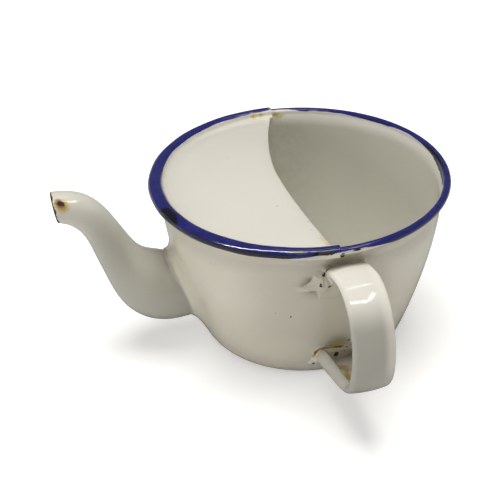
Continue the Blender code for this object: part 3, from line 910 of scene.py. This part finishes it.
def paint_cover(obj):
    points = points_of(obj)
    x, y, z = points.T
    radius = np.hypot(x, y)
    upper = z > cover_z(np.minimum(radius, 46)) - 0.35
    # painted shade along the curl's foot and in the groove at the back, and dirt in patches
    # underneath
    grime = 0.16 * bell(radius - 45.9, 1.1) * upper
    grime += 0.06 * bell(radius - 43.0, 2.6) * upper * smooth(y, 5, 30)
    grime += 0.2 * (~upper) * (radius < 45.5) * smooth(lumps(points, 20.0), -0.2, 0.9)
    paint(
        obj,
        blue=np.where(radius > 45.9, blue_distance(points, CURL_OUT), -4.0),
        chip=np.maximum(rim_field(points, RIM_CHIPS), spot_field(points, COVER_CHIPS)),
        rust=stain_field(points, COVER_RUST),
        grime=np.clip(grime, 0, 1),
        **rim_shades(points),
    )


def build_cover():
    obj = make_object("clinched_half_cover", *cover_mesh())
    paint_cover(obj)
    finish_piece(obj, COVER_ENAMEL, "cover_enamel", "half_cover")


# ---------------------------------------------------------------------------
# Spout
# ---------------------------------------------------------------------------
# centre line: distance towards -X, z, outer radius
SPOUT = Spline([
    (32.0, 22.4, 12.0), (40.1, 22.2, 12.0), (49.6, 21.9, 12.1), (55.5, 25.8, 10.9),
    (60.6, 32.0, 8.0), (64.8, 40.3, 6.3), (68.9, 48.9, 5.6), (74.8, 55.1, 5.6),
    (81.8, 56.9, 5.1), (85.5, 57.0, 5.0),
])
TIP_INDEX = 8  # the centre line's point at the mouth
TIP_ALONG = SPOUT.knots[TIP_INDEX]
TIP_OUT, TIP_Z = SPOUT.points[TIP_INDEX, :2]
TIP_TILT = math.radians(8.0)
SPOUT_WALL = 0.9
SPOUT_AROUND, SPOUT_ALONG, LIP_STEPS = 112, 150, 8

SPOUT_CHIPS = [
    (-79.7, -3.9, 60.3, 0.85), (-78.8, -4.2, 60.1, 0.62), (-52.0, -7.0, 13.4, 0.35),
    (-70.5, -5.0, 50.0, 0.25),
]
SPOUT_RUST = [
    (-79.5, -4.0, 60.0, 1.7, 0.40), (-78.6, -4.6, 58.8, 3.2, 0.28), (-80.6, -3.6, 60.6, 1.6, 0.25),
    (-80.6, -3.4, 60.8, 1.1, 0.30), (-79.6, 3.8, 54.0, 1.4, 0.22),
]


def before_tip(points):
    """Distance back from the tilted plane of the mouth."""
    out, up = points[..., 0] + TIP_OUT, points[..., 2] - TIP_Z
    return out * math.cos(TIP_TILT) + up * math.sin(TIP_TILT)


def spout_point(angle, offset, along):
    centre, normal_out, normal_z = SPOUT.frame(along)
    size = centre[..., 2] + offset
    up = size * np.sin(angle)
    x, z = -(centre[..., 0] + up * normal_out), centre[..., 1] + up * normal_z
    return np.stack([x, size * np.cos(angle), z], -1)


def spout_mesh():
    """Outer skin from the root to the tip, rounded lip, inner skin back to the root."""
    angle = np.arange(SPOUT_AROUND) * 2 * math.pi / SPOUT_AROUND
    half = SPOUT_WALL / 2

    def meet(measure, offset, low, high):
        return bisect(
            lambda along: measure(spout_point(angle, offset, along)),
            np.full(SPOUT_AROUND, low), np.full(SPOUT_AROUND, high),
        )

    def root(offset):
        return meet(lambda points: off_wall(points) + 0.45, offset, 0.5, 22.0)

    def tip(offset):
        return meet(before_tip, offset, TIP_ALONG - 4.0, TIP_ALONG + 3.5) - half

    share = np.linspace(0, 1, SPOUT_ALONG)[:, None]
    start, end = root(0.0), tip(0.0)
    loops = [spout_point(angle[None], 0.0, start + (end - start) * share)]
    lip = tip(-half)
    for turn in np.linspace(0, math.pi, LIP_STEPS + 1)[1:-1]:
        offset, along = -half + half * math.cos(turn), lip + half * math.sin(turn)
        loops.append(spout_point(angle[None], offset, along[None]))
    start, end = root(-SPOUT_WALL), tip(-SPOUT_WALL)
    loops.append(spout_point(angle[None], -SPOUT_WALL, end + (start - end) * share[::2]))
    grid = np.concatenate(loops, 0)
    # slight hand-made unevenness across the pressed halves
    grid[..., 1] *= 1 + 0.012 * lumps(grid, 15.0)
    vertices, faces = loft(grid)
    return vertices, outward(vertices, faces)


def paint_spout(obj):
    points = points_of(obj)
    x, y, z = points.T
    from_tip = before_tip(points)
    mouth = 1.0 - from_tip / 0.55 + 0.25 * np.sin(np.arctan2(z - TIP_Z, y) * 7)
    inner = np.arange(len(points)) // SPOUT_AROUND >= SPOUT_ALONG + LIP_STEPS - 1
    # painted shade inside the spout, deeper away from the mouth, and beside the bowl's wall
    grime = 0.75 * inner * smooth(from_tip, 0.5, 8.0)
    grime += 0.10 * bell(off_wall(points, top=52), 2.0)
    paint(
        obj,
        chip=np.maximum(np.clip(mouth, -1, 1), spot_field(points, SPOUT_CHIPS)),
        rust=np.maximum(stain_field(points, SPOUT_RUST), 0.30 * bell(from_tip, 0.8)),
        grime=np.clip(grime, 0, 1),
        # painted shade, darker towards the bottom of the spout
        thin=0.44 * smooth(z, 57.0, 42.0),
    )


def build_spout():
    obj = make_object("gooseneck_spout", *spout_mesh())
    paint_spout(obj)
    finish_piece(
        obj, SPOUT_ENAMEL, "spout_enamel", "spout_half_handle_side", "spout_half_far_side"
    )


# ---------------------------------------------------------------------------
# Handle: a strap bent to a channel, its flanges turned inward to the loop
# ---------------------------------------------------------------------------
# path of the strap's outer face: distance from the cup's axis, z
HANDLE = Spline([
    (38.0, 45.4), (46.8, 51.2), (54.0, 53.6), (60.0, 53.9), (65.0, 52.1), (69.4, 48.6),
    (72.6, 43.5), (74.2, 37.0), (74.2, 31.0), (72.6, 24.7), (68.7, 19.4), (62.8, 15.7),
    (55.6, 13.2), (48.0, 11.1), (41.0, 9.0), (32.0, 6.0),
])
HANDLE_TURN = math.radians(3.45)  # from -Y towards +X
OUT = np.array([math.sin(HANDLE_TURN), -math.cos(HANDLE_TURN)])
ACROSS = np.array([math.cos(HANDLE_TURN), math.sin(HANDLE_TURN)])
STRAP_WIDTH, STRAP_THICK, FLANGE = 13.6, 1.0, 3.4
FILLET = 1.15
FLANGE_TOP = -STRAP_THICK / 2 - FILLET  # depth where the flange meets its fillet
FLANGE_POINTS, FILLET_POINTS, WEB_POINTS = 12, 10, 15
HANDLE_ROWS = 260

HANDLE_CHIPS = [
    (-2.7, -46.4, 45.4, 0.75), (-3.9, -47.9, 50.6, 0.55), (-3.3, -48.1, 51.1, 0.5),
    (-2.7, -48.4, 51.7, 0.36), (-1.6, -72.2, 44.7, 0.30), (-0.6, -72.9, 42.6, 0.26),
    (-2.6, -71.0, 46.8, 0.24), (9.2, -60.0, 15.5, 0.4), (3.0, -66.0, 17.0, 0.3),
]
HANDLE_OCHRE = [
    (2.6, -45.6, 11.0, 3.4, 0.30), (2.2, -50.5, 12.4, 4.2, 0.36), (1.8, -55.6, 13.8, 3.6, 0.34),
    (4.5, -40.5, 9.4, 2.6, 0.2),
]
HANDLE_RUST = [(-3.6, -47.9, 50.8, 1.0, 0.14)]


def strap_point(width, depth, along):
    centre, normal_out, normal_z = HANDLE.frame(along)
    out, z = centre[..., 0] + depth * normal_out, centre[..., 1] + depth * normal_z
    x, y = (out * OUT[k] + width * ACROSS[k] for k in range(2))
    return np.stack([x, y, z], -1)


def strap_midline():
    """Middle of the sheet across the channel (width, depth), left flange to right flange."""
    half = STRAP_WIDTH / 2 - STRAP_THICK / 2
    low = -FLANGE + STRAP_THICK / 2
    left = []
    for k in range(FLANGE_POINTS):
        depth = low + (FLANGE_TOP - low) * k / FLANGE_POINTS
        lean = 1.25 * ((FLANGE_TOP - depth) / (FLANGE_TOP - low)) ** 1.3
        left.append((-half + lean, depth))
    for angle in np.linspace(math.pi, math.pi / 2, FILLET_POINTS):
        width = -half + FILLET + FILLET * math.cos(angle)
        left.append((width, FLANGE_TOP + FILLET * math.sin(angle)))
    right = [(-width, depth) for width, depth in reversed(left)]
    edge = left[-1][0]
    web = []
    for k in range(1, WEB_POINTS):
        width = edge + (-2 * edge) * k / WEB_POINTS
        web.append((width, -STRAP_THICK / 2 + 0.42 * (1 - (width / edge) ** 2)))
    return np.array(left + web + right)


def handle_middle():
    """Grid through the middle of the strap, cut off just inside the bowl's wall."""
    width, depth = strap_midline().T
    total = HANDLE.knots[-1]

    def landing(low, high):
        return bisect(
            lambda along: off_wall(strap_point(width, depth, along)) + 0.35,
            np.full(len(width), low), np.full(len(width), high),
        )

    first, last = landing(0.5, 0.28 * total), landing(0.72 * total, total - 0.5)
    along = first + (last - first) * np.linspace(0, 1, HANDLE_ROWS)[:, None]
    # the flanges are deeper at the top landing and along the whole bottom leg,
    # and their corners are rounded off beside the bowl
    from_top, from_end = along - first, last - along
    deep = 1.0 + 2.0 * bell(from_top, 5.0) + 2.2 * bell(np.maximum(from_end, 0), 27.0, power=4)
    deep -= 1.3 * np.clip(1 - from_end / 5.0, 0, 1) ** 2
    deep -= 0.3 * np.clip(1 - from_top / 2.0, 0, 1) ** 2
    deepened = FLANGE_TOP + (depth - FLANGE_TOP) * deep
    depths = np.where(depth < FLANGE_TOP, deepened, depth * np.ones_like(along))
    widths = width * np.ones_like(along) + 0.12 * np.sin(along * 0.11 + 1.0) * np.sign(width)
    middle = strap_point(widths, depths, along)
    return middle + 0.05 * lumps(middle, 17.0)[..., None] * np.array([1.0, 0.5, 0.5])


def channel_side(vertices, rows, columns):
    """Marks the vertices of the face that lies inside the channel."""
    count = rows * columns
    crown = (rows // 2) * columns + columns // 2
    hub = np.array([OUT[0] * 60, OUT[1] * 60, 33.0])  # in the middle of the handle's loop
    reach = [np.linalg.norm(vertices[k] - hub) for k in (crown, count + crown)]
    index = np.arange(len(vertices))
    return (index >= count) & (index < 2 * count) if reach[0] > reach[1] else index < count


def paint_handle(obj, channel):
    points = points_of(obj)
    x, y, z = points.T
    # tan rust inside the channel of the bottom leg
    ochre = stain_field(points, HANDLE_OCHRE) * smooth(lumps(points, 5.0), -0.9, 0.5)
    haze = 0.10 * smooth(lumps(points, 9.0), -0.3, 0.8)
    rust = channel * smooth(z, 30.0, 12.0) * (haze + ochre)
    rust += stain_field(points, HANDLE_RUST)
    # painted shade inside the channel and where the strap meets the bowl's wall
    grime = 0.03 * channel + 0.2 * bell(off_wall(points, top=52), 2.0)
    # painted shade: darker below the top bend, a little more part way down the loop, much less
    # inside the channel
    thin = 0.14 + 0.50 * smooth(z, 53.0, 44.0)
    thin += 0.10 * smooth(z, 40.0, 16.0) * smooth(z, 3.0, 14.0)
    thin = thin * (1 - 0.85 * channel)
    # painted light: the bevel along the right edge, and the left edge low down, are kept lighter
    across = x * ACROSS[0] + y * ACROSS[1]
    thin = thin * (1 - 0.60 * smooth(across, 2.2, 5.2) * smooth(z, 22.0, 34.0))
    thin = thin * (1 - 0.4 * smooth(across, -5.0, -6.4) * smooth(z, 24.0, 14.0))
    paint(
        obj,
        chip=spot_field(points, HANDLE_CHIPS),
        rust=np.clip(rust, 0, 1),
        grime=np.clip(grime, 0, 1),
        thin=thin,
    )


def build_handle():
    middle = handle_middle()
    rows, columns = middle.shape[:2]
    vertices, faces = thick_sheet(middle, np.full((rows, columns), STRAP_THICK), steps=7)
    obj = make_object("strap_handle", vertices, faces)
    paint_handle(obj, channel_side(vertices, rows, columns))
    finish_piece(obj, STRAP_ENAMEL, "handle_enamel", "handle_strap")


# ---------------------------------------------------------------------------
# Spout weld
# ---------------------------------------------------------------------------
SPOUT_ROOT_RADIUS, SPOUT_ROOT_Z = 12.05, 22.1
FILLET_AROUND, FILLET_ACROSS = 220, 30


def spout_fillet_grid():
    """A concave fillet swept round the spout's root, meeting both surfaces smoothly."""
    turn = np.arange(FILLET_AROUND) * 2 * math.pi / FILLET_AROUND
    below = -np.sin(turn)
    leg = 6.6 + 0.35 * np.sin(turn * 2 + 0.6) + 0.9 * smooth(below, 0.2, 1.0)
    tall = 3.1 + 0.25 * np.sin(turn + 1.0) + 0.5 * smooth(below, 0.3, 1.0)
    leg, tall = leg[:, None], tall[:, None]
    share = (1 - np.cos(np.linspace(0, math.pi / 2, FILLET_ACROSS))) ** 1.15
    out = leg * share - 0.14 * (1 - share)
    rise = tall * (1 - np.sqrt(np.clip(1 - (1 - share) ** 2, 0, 1)))
    # out along the spout and into the wall, so that both ends are buried
    column = np.ones((FILLET_AROUND, 1))
    out = np.concatenate([-0.5 * column, out, leg + 0.25, leg + 0.25, -0.5 * column], 1)
    rise = np.concatenate([tall - 0.15, rise, -0.06 * column, -0.5 * column, -0.5 * column], 1)
    y = -(SPOUT_ROOT_RADIUS + out) * np.cos(turn)[:, None]
    z = SPOUT_ROOT_Z + (SPOUT_ROOT_RADIUS + out) * np.sin(turn)[:, None]
    # lumpier at the upper front
    rough = lumps(np.stack([y, z, rise * 2], -1), 4.2)
    hump = bell(turn - math.radians(62.0), 0.32)[:, None]
    rise = rise + 0.22 * hump * np.clip(rough, -0.4, 1) * (rise > 0.15)
    return np.stack([-np.sqrt(wall_radius(z) ** 2 - y**2) - rise, y, z], -1)


def build_spout_weld():
    grid = spout_fillet_grid()
    vertices, faces = loft(grid)
    faces = outward_about(vertices, faces, grid.mean(1))
    obj = make_object("spout_root_fillet", vertices, faces)
    points = points_of(obj)
    gap = np.hypot(points[:, 1], points[:, 2] - SPOUT_ROOT_Z) - SPOUT_ROOT_RADIUS
    paint(
        obj,
        chip=spot_field(points, [(-46.5, -5.6, 33.6, 0.3)]),
        rust=stain_field(points, [(-42.0, 12.5, 24.0, 2.0, 0.2)]),
        grime=np.clip(0.08 * bell(np.maximum(gap, 0), 0.35), 0, 1),
        # painted shade on the fillet next to the spout
        thin=0.05 + 0.30 * smooth(gap, 0.7, 0.1),
    )
    finish_piece(obj, WELD_ENAMEL, "weld_enamel", "spout_root_weld")


# ---------------------------------------------------------------------------
# Handle welds: low relief on the outside of the bowl
# ---------------------------------------------------------------------------
RELIEF_STEP = 0.2
BURIED = -0.35  # depth of a patch where it lies inside the wall

# the two flanks of the ear beside the handle's top end: x, z, shade
EAR_ABOVE = [
    (-12.4, 44.2, 0.10), (-11.33, 44.28, 0.35), (-10.44, 44.55, 0.6), (-9.55, 45.1, 0.8),
    (-8.82, 45.81, 0.95), (-8.24, 46.59, 1.0), (-7.72, 47.48, 0.8), (-7.5, 48.2, 0.2),
]
EAR_BELOW = [
    (-11.3, 41.8, 0.1), (-10.06, 41.97, 0.35), (-8.85, 42.1, 0.5), (-8.26, 42.37, 0.7),
    (-7.35, 42.4, 0.9), (-6.6, 42.34, 1.0), (-6.25, 41.69, 0.9), (-5.95, 40.6, 0.6),
    (-5.65, 39.5, 0.15),
]
# rusty line over the handle's bottom end: x, z, shade
LOW_ARCH = [
    (-5.6, 9.6, 0.1), (-5.3, 11.4, 0.6), (-5.0, 13.2, 1.0), (-3.8, 14.6, 1.0), (-2.1, 15.0, 0.8),
    (0.9, 14.9, 0.9), (3.3, 14.5, 0.9), (5.2, 14.3, 0.3),
]
# pits: x, z, half width, half height
TOP_WELD_PITS = [
    (-5.45, 46.15, 0.36, 0.5), (-5.45, 45.4, 0.5, 0.5), (-2.9, 45.2, 0.62, 0.44),
    (-2.4, 45.35, 0.5, 0.4), (-4.6, 49.2, 0.5, 0.42), (-4.15, 49.7, 0.5, 0.42),
]
BOTTOM_WELD_PITS = [
    (2.05, 11.45, 0.86, 1.2), (-5.05, 7.2, 0.5, 0.5), (5.7, 13.8, 0.3, 0.3), (4.9, 12.2, 0.2, 0.3)
]
# stains: x, y, z, radius, strength
# painted shadow, with a brown stain, under the rim above the handle's top
TOP_WELD_SHADOW_AND_STAIN = [
    (1.5, -47.8, 52.6, 4.5, 0.8), (-3.0, -47.3, 51.8, 2.6, 0.7), (7.4, -47.4, 52.4, 2.8, 0.6)
]
TOP_WELD_RUST = [(-4.4, -47.4, 49.4, 1.0, 0.14)]
BOTTOM_WELD_RUST = [
    (-4.6, -38.6, 13.4, 0.9, 0.24), (-5.4, -38.0, 11.0, 0.8, 0.2), (1.4, -39.8, 15.2, 3.0, 0.2),
    (3.8, -39.6, 11.0, 1.6, 0.14),
]


def relief(name, centre_angle, half_angle, z_low, z_high, height):
    """A patch that follows the bowl and stands height(points) above it.
    Where height is negative it lies inside the wall. Closed at the back."""
    mean_radius = float(wall_radius(0.5 * (z_low + z_high)))
    columns = int(2 * math.radians(half_angle) * mean_radius / RELIEF_STEP)
    rows = int((z_high - z_low) / RELIEF_STEP)
    angles = np.radians(centre_angle) + np.radians(np.linspace(-half_angle, half_angle, columns))
    z, angle = np.meshgrid(np.linspace(z_low, z_high, rows), angles, indexing="ij")
    cosine, sine, radius = np.cos(angle), np.sin(angle), wall_radius(z)
    slope = (wall_radius(z + 0.05) - wall_radius(z - 0.05)) / 0.1
    normal_out, normal_z = 1 / np.hypot(1, slope), -slope / np.hypot(1, slope)
    surface = np.stack([radius * cosine, radius * sine, z], -1)
    normal = np.stack([normal_out * cosine, normal_out * sine, normal_z], -1)
    rise = np.clip(height(surface), BURIED, 8.0)
    i, j = border(rows, columns)
    rise[i, j] = BURIED
    top = surface + normal * rise[..., None]
    back = surface - normal * 0.55
    vertices = np.concatenate([top.reshape(-1, 3), back.reshape(-1, 3)])
    ring = i * columns + j
    faces = both_sides(rows, columns) + [band_faces(ring, ring + rows * columns)]
    return make_object(name, vertices, outward(vertices, np.concatenate(faces)))


def strap_distance(points, z_top, z_bottom):
    """Distance on the wall from the strap's landing, negative inside it."""
    across = points[..., 0] * ACROSS[0] + points[..., 1] * ACROSS[1]
    middle, half_height, corner = 0.5 * (z_top + z_bottom), 0.5 * (z_top - z_bottom), 1.4
    beside = np.abs(across) - STRAP_WIDTH / 2 + corner
    above = np.abs(points[..., 2] - middle) - half_height + corner
    outer = np.hypot(np.maximum(beside, 0), np.maximum(above, 0))
    return outer + np.minimum(np.maximum(beside, above), 0) - corner


def weld_collar(points, z_top, z_bottom, tall, reach, lump_size, lump_reach):
    """Height of a lumpy bead round the strap's landing."""
    distance = strap_distance(points, z_top, z_bottom)
    rise = tall * np.clip(1 - np.maximum(distance, 0) / reach, 0, 1) ** 1.7 - 0.12
    rough = np.clip(lumps(points, lump_size), -0.5, 1.0)
    return rise + 0.35 * rough * bell(distance, lump_reach)


def from_line(x, z, line):
    """Signed distance from a polyline (positive on its left) and its shade there."""
    knots = np.array(line)
    best, shade, side = np.full(x.shape, 1e9), np.zeros(x.shape), np.ones(x.shape)
    for start, end in zip(knots[:-1], knots[1:]):
        step = end[:2] - start[:2]
        share = ((x - start[0]) * step[0] + (z - start[1]) * step[1]) / (step @ step)
        share = np.clip(share, 0, 1)
        gap_x, gap_z = x - start[0] - share * step[0], z - start[1] - share * step[1]
        distance = np.hypot(gap_x, gap_z)
        near = distance < best
        best = np.where(near, distance, best)
        shade = np.where(near, start[2] + (end[2] - start[2]) * share, shade)
        side = np.where(near, np.where(step[0] * gap_z - step[1] * gap_x > 0, 1.0, -1.0), side)
    return best * side, shade


def top_weld_height(points):
    x, z = points[..., 0], points[..., 2]
    collar = weld_collar(
        points, z_top=50.9, z_bottom=44.0, tall=1.0, reach=2.3, lump_size=3.2, lump_reach=1.4
    )
    # an ear squeezed out beside the left flange, scooped above and below
    above, below = from_line(x, z, EAR_ABOVE)[0], from_line(x, z, EAR_BELOW)[0]
    ridge = 0.85 * smooth(-above, -0.12, 0.9) * smooth(below, -0.12, 0.9) * smooth(x, -12.8, -8.5)
    ridge = np.where(x > -5.4, 0.85, ridge) * smooth(z, 37.6, 44.0) * smooth(z, 51.0, 48.0)
    ridge = ridge * smooth(x, 9.0, 6.5)
    blob = 1.5 * bell(x + 3.6, 2.1) * bell(z - 46.4, 3.0)
    # the patch sinks into the wall towards its edges
    edge = smooth(x, -17.6, -13.6) * smooth(x, 10.6, 7.6)
    edge = edge * smooth(z, 36.8, 39.6) * smooth(z, 54.0, 51.5)
    return np.maximum(collar, ridge + blob) * edge + 0.03 - 0.12 * (1 - edge)


def build_top_weld():
    obj = relief("handle_top_weld_lumps", 266.5, 16.5, 36.6, 54.2, top_weld_height)
    points = points_of(obj)
    x, y, z = points.T
    above, shade_above = from_line(x, z, EAR_ABOVE)
    below, shade_below = from_line(x, z, EAR_BELOW)
    # painted shade in the scoops above and below the ear and in the seam at its root
    upper = shade_above * smooth(above, -0.15, 0.1) * bell(np.maximum(above, 0), 1.7, power=1.5)
    lower = shade_below * smooth(-below, -0.15, 0.1) * bell(np.maximum(-below, 0), 2.0, power=1.5)
    scoop = np.maximum(upper, lower * 0.85)
    seam = bell(x + 4.7, 0.35) * smooth(z, 44.0, 45.5) * smooth(z, 50.0, 48.5)
    grime = np.maximum(0.85 * stain_field(points, TOP_WELD_SHADOW_AND_STAIN), np.maximum(scoop, 0.55 * seam))
    paint(
        obj,
        chip=front_spots(points, TOP_WELD_PITS),
        rust=stain_field(points, TOP_WELD_RUST),
        grime=np.clip(grime, 0, 1),
        # the wall's painted shade carries on over the weld
        thin=wall_shade(points),
    )
    finish_piece(obj, WELD_ENAMEL, "weld_enamel", "handle_top_weld")


def bottom_weld_height(points):
    collar = weld_collar(
        points, z_top=13.6, z_bottom=8.0, tall=1.1, reach=1.9, lump_size=2.8, lump_reach=1.3
    )
    # small flat ear beside the left flange
    across, up = (points[..., 0] + 5.0) / 2.2, (points[..., 2] - 7.2) / 1.3
    ear = 1 - np.sqrt(across**2 + up**2)
    return np.maximum(collar, 0.45 * np.clip(ear * 2.2, -0.6, 1) - 0.08)


def build_bottom_weld():
    obj = relief("handle_bottom_weld_lumps", 271.5, 17.5, 2.6, 16.6, bottom_weld_height)
    points = points_of(obj)
    arch, shade = from_line(points[:, 0], points[:, 2], LOW_ARCH)
    line = shade * bell(arch, 0.42) * smooth(lumps(points, 3.0), -1.4, 0.2)
    paint(
        obj,
        chip=front_spots(points, BOTTOM_WELD_PITS),
        rust=np.clip(0.62 * line + stain_field(points, BOTTOM_WELD_RUST), 0, 1),
        # painted shadow above the strap's bottom end
        grime=np.clip(low_shadow(points), 0, 1),
        # the wall's painted shade carries on over the weld
        thin=wall_shade(points),
    )
    finish_piece(obj, WELD_ENAMEL, "weld_enamel", "handle_bottom_weld")


# ---------------------------------------------------------------------------
# Stage, light and camera, in metres
# ---------------------------------------------------------------------------
CENTRE = Vector((0, 0, 0.04))  # what the lights and the camera face
FLOOR_HALF, FLOOR_DROP = 6, 0.00005
FLOOR_GREY, FLOOR_MIRRORED = (0.86, 0.86, 0.86, 1), (0.45, 0.45, 0.45, 1)
FLOOR_GLOW = 0.42
ROOM, MIRRORED, SEEN = 0.06, 0.12, 1.0  # world strength as light, in reflections, to the camera
WARM = (1.0, 0.985, 0.96)
SOFT_DISTANCE, STRIP_DISTANCE = 1.3, 1.2
# name, direction from the centre, side of the square, power in watts
SOFT_LIGHTS = [
    ("overhead", (0.0, 0.08, 1.0), 0.9, 15.7),
    ("overhead_front", (0.0, -0.5, 0.85), 0.9, 1.2),
    ("front_left", (-0.80, -0.40, 0.5), 0.9, 1.6),
    ("low_left", (-0.95, -0.20, 0.2), 0.7, 4.0),
    ("low_right", (0.88, -0.34, 0.12), 0.7, 3.8),
]
# name, directions of the two ends from the centre, width, radiance
STRIP_LIGHTS = [
    ("rim_strip", (-0.90, -0.36, 0.22), (-0.10, -0.38, 0.92), 0.035, 75.0),
    ("upper_strip", (-0.10, 0.17, 0.98), (0.40, 0.28, 0.87), 0.040, 6.0),
    ("handle_strip", (-0.26, -0.31, 0.92), (0.27, -0.355, 0.895), 0.070, 17.0),
    ("handle_strip_turn", (0.30, -0.34, 0.89), (0.42, -0.10, 0.90), 0.065, 17.0),
]


def floor_material():
    material = bpy.data.materials.new("pale_floor")
    material.use_nodes = True
    nodes, link = material.node_tree.nodes, material.node_tree.links.new
    shader = nodes["Principled BSDF"]
    shader.inputs["Roughness"].default_value = 0.9
    shader.inputs["Specular IOR Level"].default_value = 0.1
    shader.inputs["Base Color"].default_value = FLOOR_GREY
    shader.inputs["Emission Color"].default_value = (1, 1, 1, 1)
    # seen directly, the table is as white as the backdrop round it
    rays = nodes.new("ShaderNodeLightPath")
    lift = nodes.new("ShaderNodeMath")
    lift.operation = "MULTIPLY"
    lift.inputs[1].default_value = FLOOR_GLOW
    link(rays.outputs["Is Camera Ray"], lift.inputs[0])
    link(lift.outputs[0], shader.inputs["Emission Strength"])
    # and it is darker in reflections
    tone = nodes.new("ShaderNodeMix")
    tone.data_type = "RGBA"
    tone.inputs[6].default_value, tone.inputs[7].default_value = FLOOR_GREY, FLOOR_MIRRORED
    link(rays.outputs["Is Glossy Ray"], tone.inputs[0])
    link(tone.outputs[2], shader.inputs["Base Color"])
    return material


def build_floor():
    mesh = bpy.data.meshes.new("floor")
    corners = [(x * FLOOR_HALF, y * FLOOR_HALF, 0) for x, y in ((-1, -1), (1, -1), (1, 1), (-1, 1))]
    mesh.from_pydata(corners, [], [(0, 1, 2, 3)])
    floor = add_object("floor", mesh)
    floor.location.z = -FLOOR_DROP
    mesh.materials.append(floor_material())


def placed(x_axis, y_axis, z_axis, place):
    matrix = Matrix((x_axis, y_axis, z_axis)).transposed().to_4x4()
    matrix.translation = place
    return matrix


def area_light(name, size, size_y):
    light = bpy.data.lights.new(name, "AREA")
    light.shape, light.size, light.size_y = "RECTANGLE", size, size_y
    return light, add_object(name, light)


def soft_light(name, direction, size, power):
    """A broad light kept out of the reflections."""
    light, obj = area_light(name, size, size)
    light.energy, light.color = power, WARM
    location = CENTRE + Vector(direction).normalized() * SOFT_DISTANCE
    obj.location = location
    obj.rotation_euler = (CENTRE - location).to_track_quat("-Z", "Y").to_euler()
    obj.visible_glossy = False


def strip_light(name, start, end, width, radiance):
    """A long narrow light that only shows in reflections."""
    start, end = (Vector(point).normalized() * STRIP_DISTANCE for point in (start, end))
    along = (end - start).normalized()
    back = ((start + end) * 0.5).normalized()
    side = back.cross(along).normalized()
    light, obj = area_light(name, (end - start).length, width)
    light.energy = radiance * math.pi * light.size * width
    obj.matrix_world = placed(side.cross(back), side, back, CENTRE + (start + end) * 0.5)
    obj.visible_diffuse = False
    return obj


def build_world():
    """The backdrop is seen white, and lights the cup much less strongly than it looks."""
    world = bpy.data.worlds.new("soft_room")
    world.use_nodes = True
    nodes, link = world.node_tree.nodes, world.node_tree.links.new
    background = nodes["Background"]
    rays = nodes.new("ShaderNodeLightPath")

    def level(ray, to_min, to_max):
        node = nodes.new("ShaderNodeMapRange")
        node.inputs["To Min"].default_value = to_min
        node.inputs["To Max"].default_value = to_max
        link(rays.outputs[ray], node.inputs["Value"])
        return node

    mirrored = level("Is Glossy Ray", ROOM, MIRRORED)
    seen = level("Is Camera Ray", 0.0, SEEN)
    link(mirrored.outputs["Result"], seen.inputs["To Min"])
    link(seen.outputs["Result"], background.inputs["Strength"])
    background.inputs["Color"].default_value = (1.0, 0.985, 0.965, 1)
    bpy.context.scene.world = world


def build_lights():
    for entry in SOFT_LIGHTS:
        soft_light(*entry)
    strips = [strip_light(*entry) for entry in STRIP_LIGHTS]
    # the rim's strip is linked to the cover alone
    only = bpy.data.collections.new("seen_by_the_cover")
    only.objects.link(bpy.data.objects["clinched_half_cover"])
    strips[0].light_linking.receiver_collection = only


def build_camera():
    """Looks down at the front of the cup, from a little to the left."""
    elevation, azimuth, roll = (math.radians(angle) for angle in (31.371, -13.461, 0.308))
    distance = 0.4
    level = math.cos(elevation)
    back = Vector((math.sin(azimuth) * level, -math.cos(azimuth) * level, math.sin(elevation)))
    right = Vector((math.cos(azimuth), math.sin(azimuth), 0.0))
    up = back.cross(right)
    cosine, sine = math.cos(roll), math.sin(roll)
    right, up = right * cosine - up * sine, up * cosine + right * sine
    data = bpy.data.cameras.new("camera")
    data.sensor_width, data.sensor_fit = 36.0, "HORIZONTAL"
    data.lens = 84.0389420608
    data.shift_x, data.shift_y = -0.1028296, -0.0600008
    data.clip_start = 0.01
    camera = add_object("camera", data)
    camera.matrix_world = placed(right, up, back, CENTRE + back * distance)
    bpy.context.scene.camera = camera


build_bowl()
build_cover()
build_spout()
build_handle()
build_spout_weld()
build_top_weld()
build_bottom_weld()
build_floor()
build_world()
build_lights()
build_camera()
bpy.context.scene.view_settings.view_transform = "Standard"
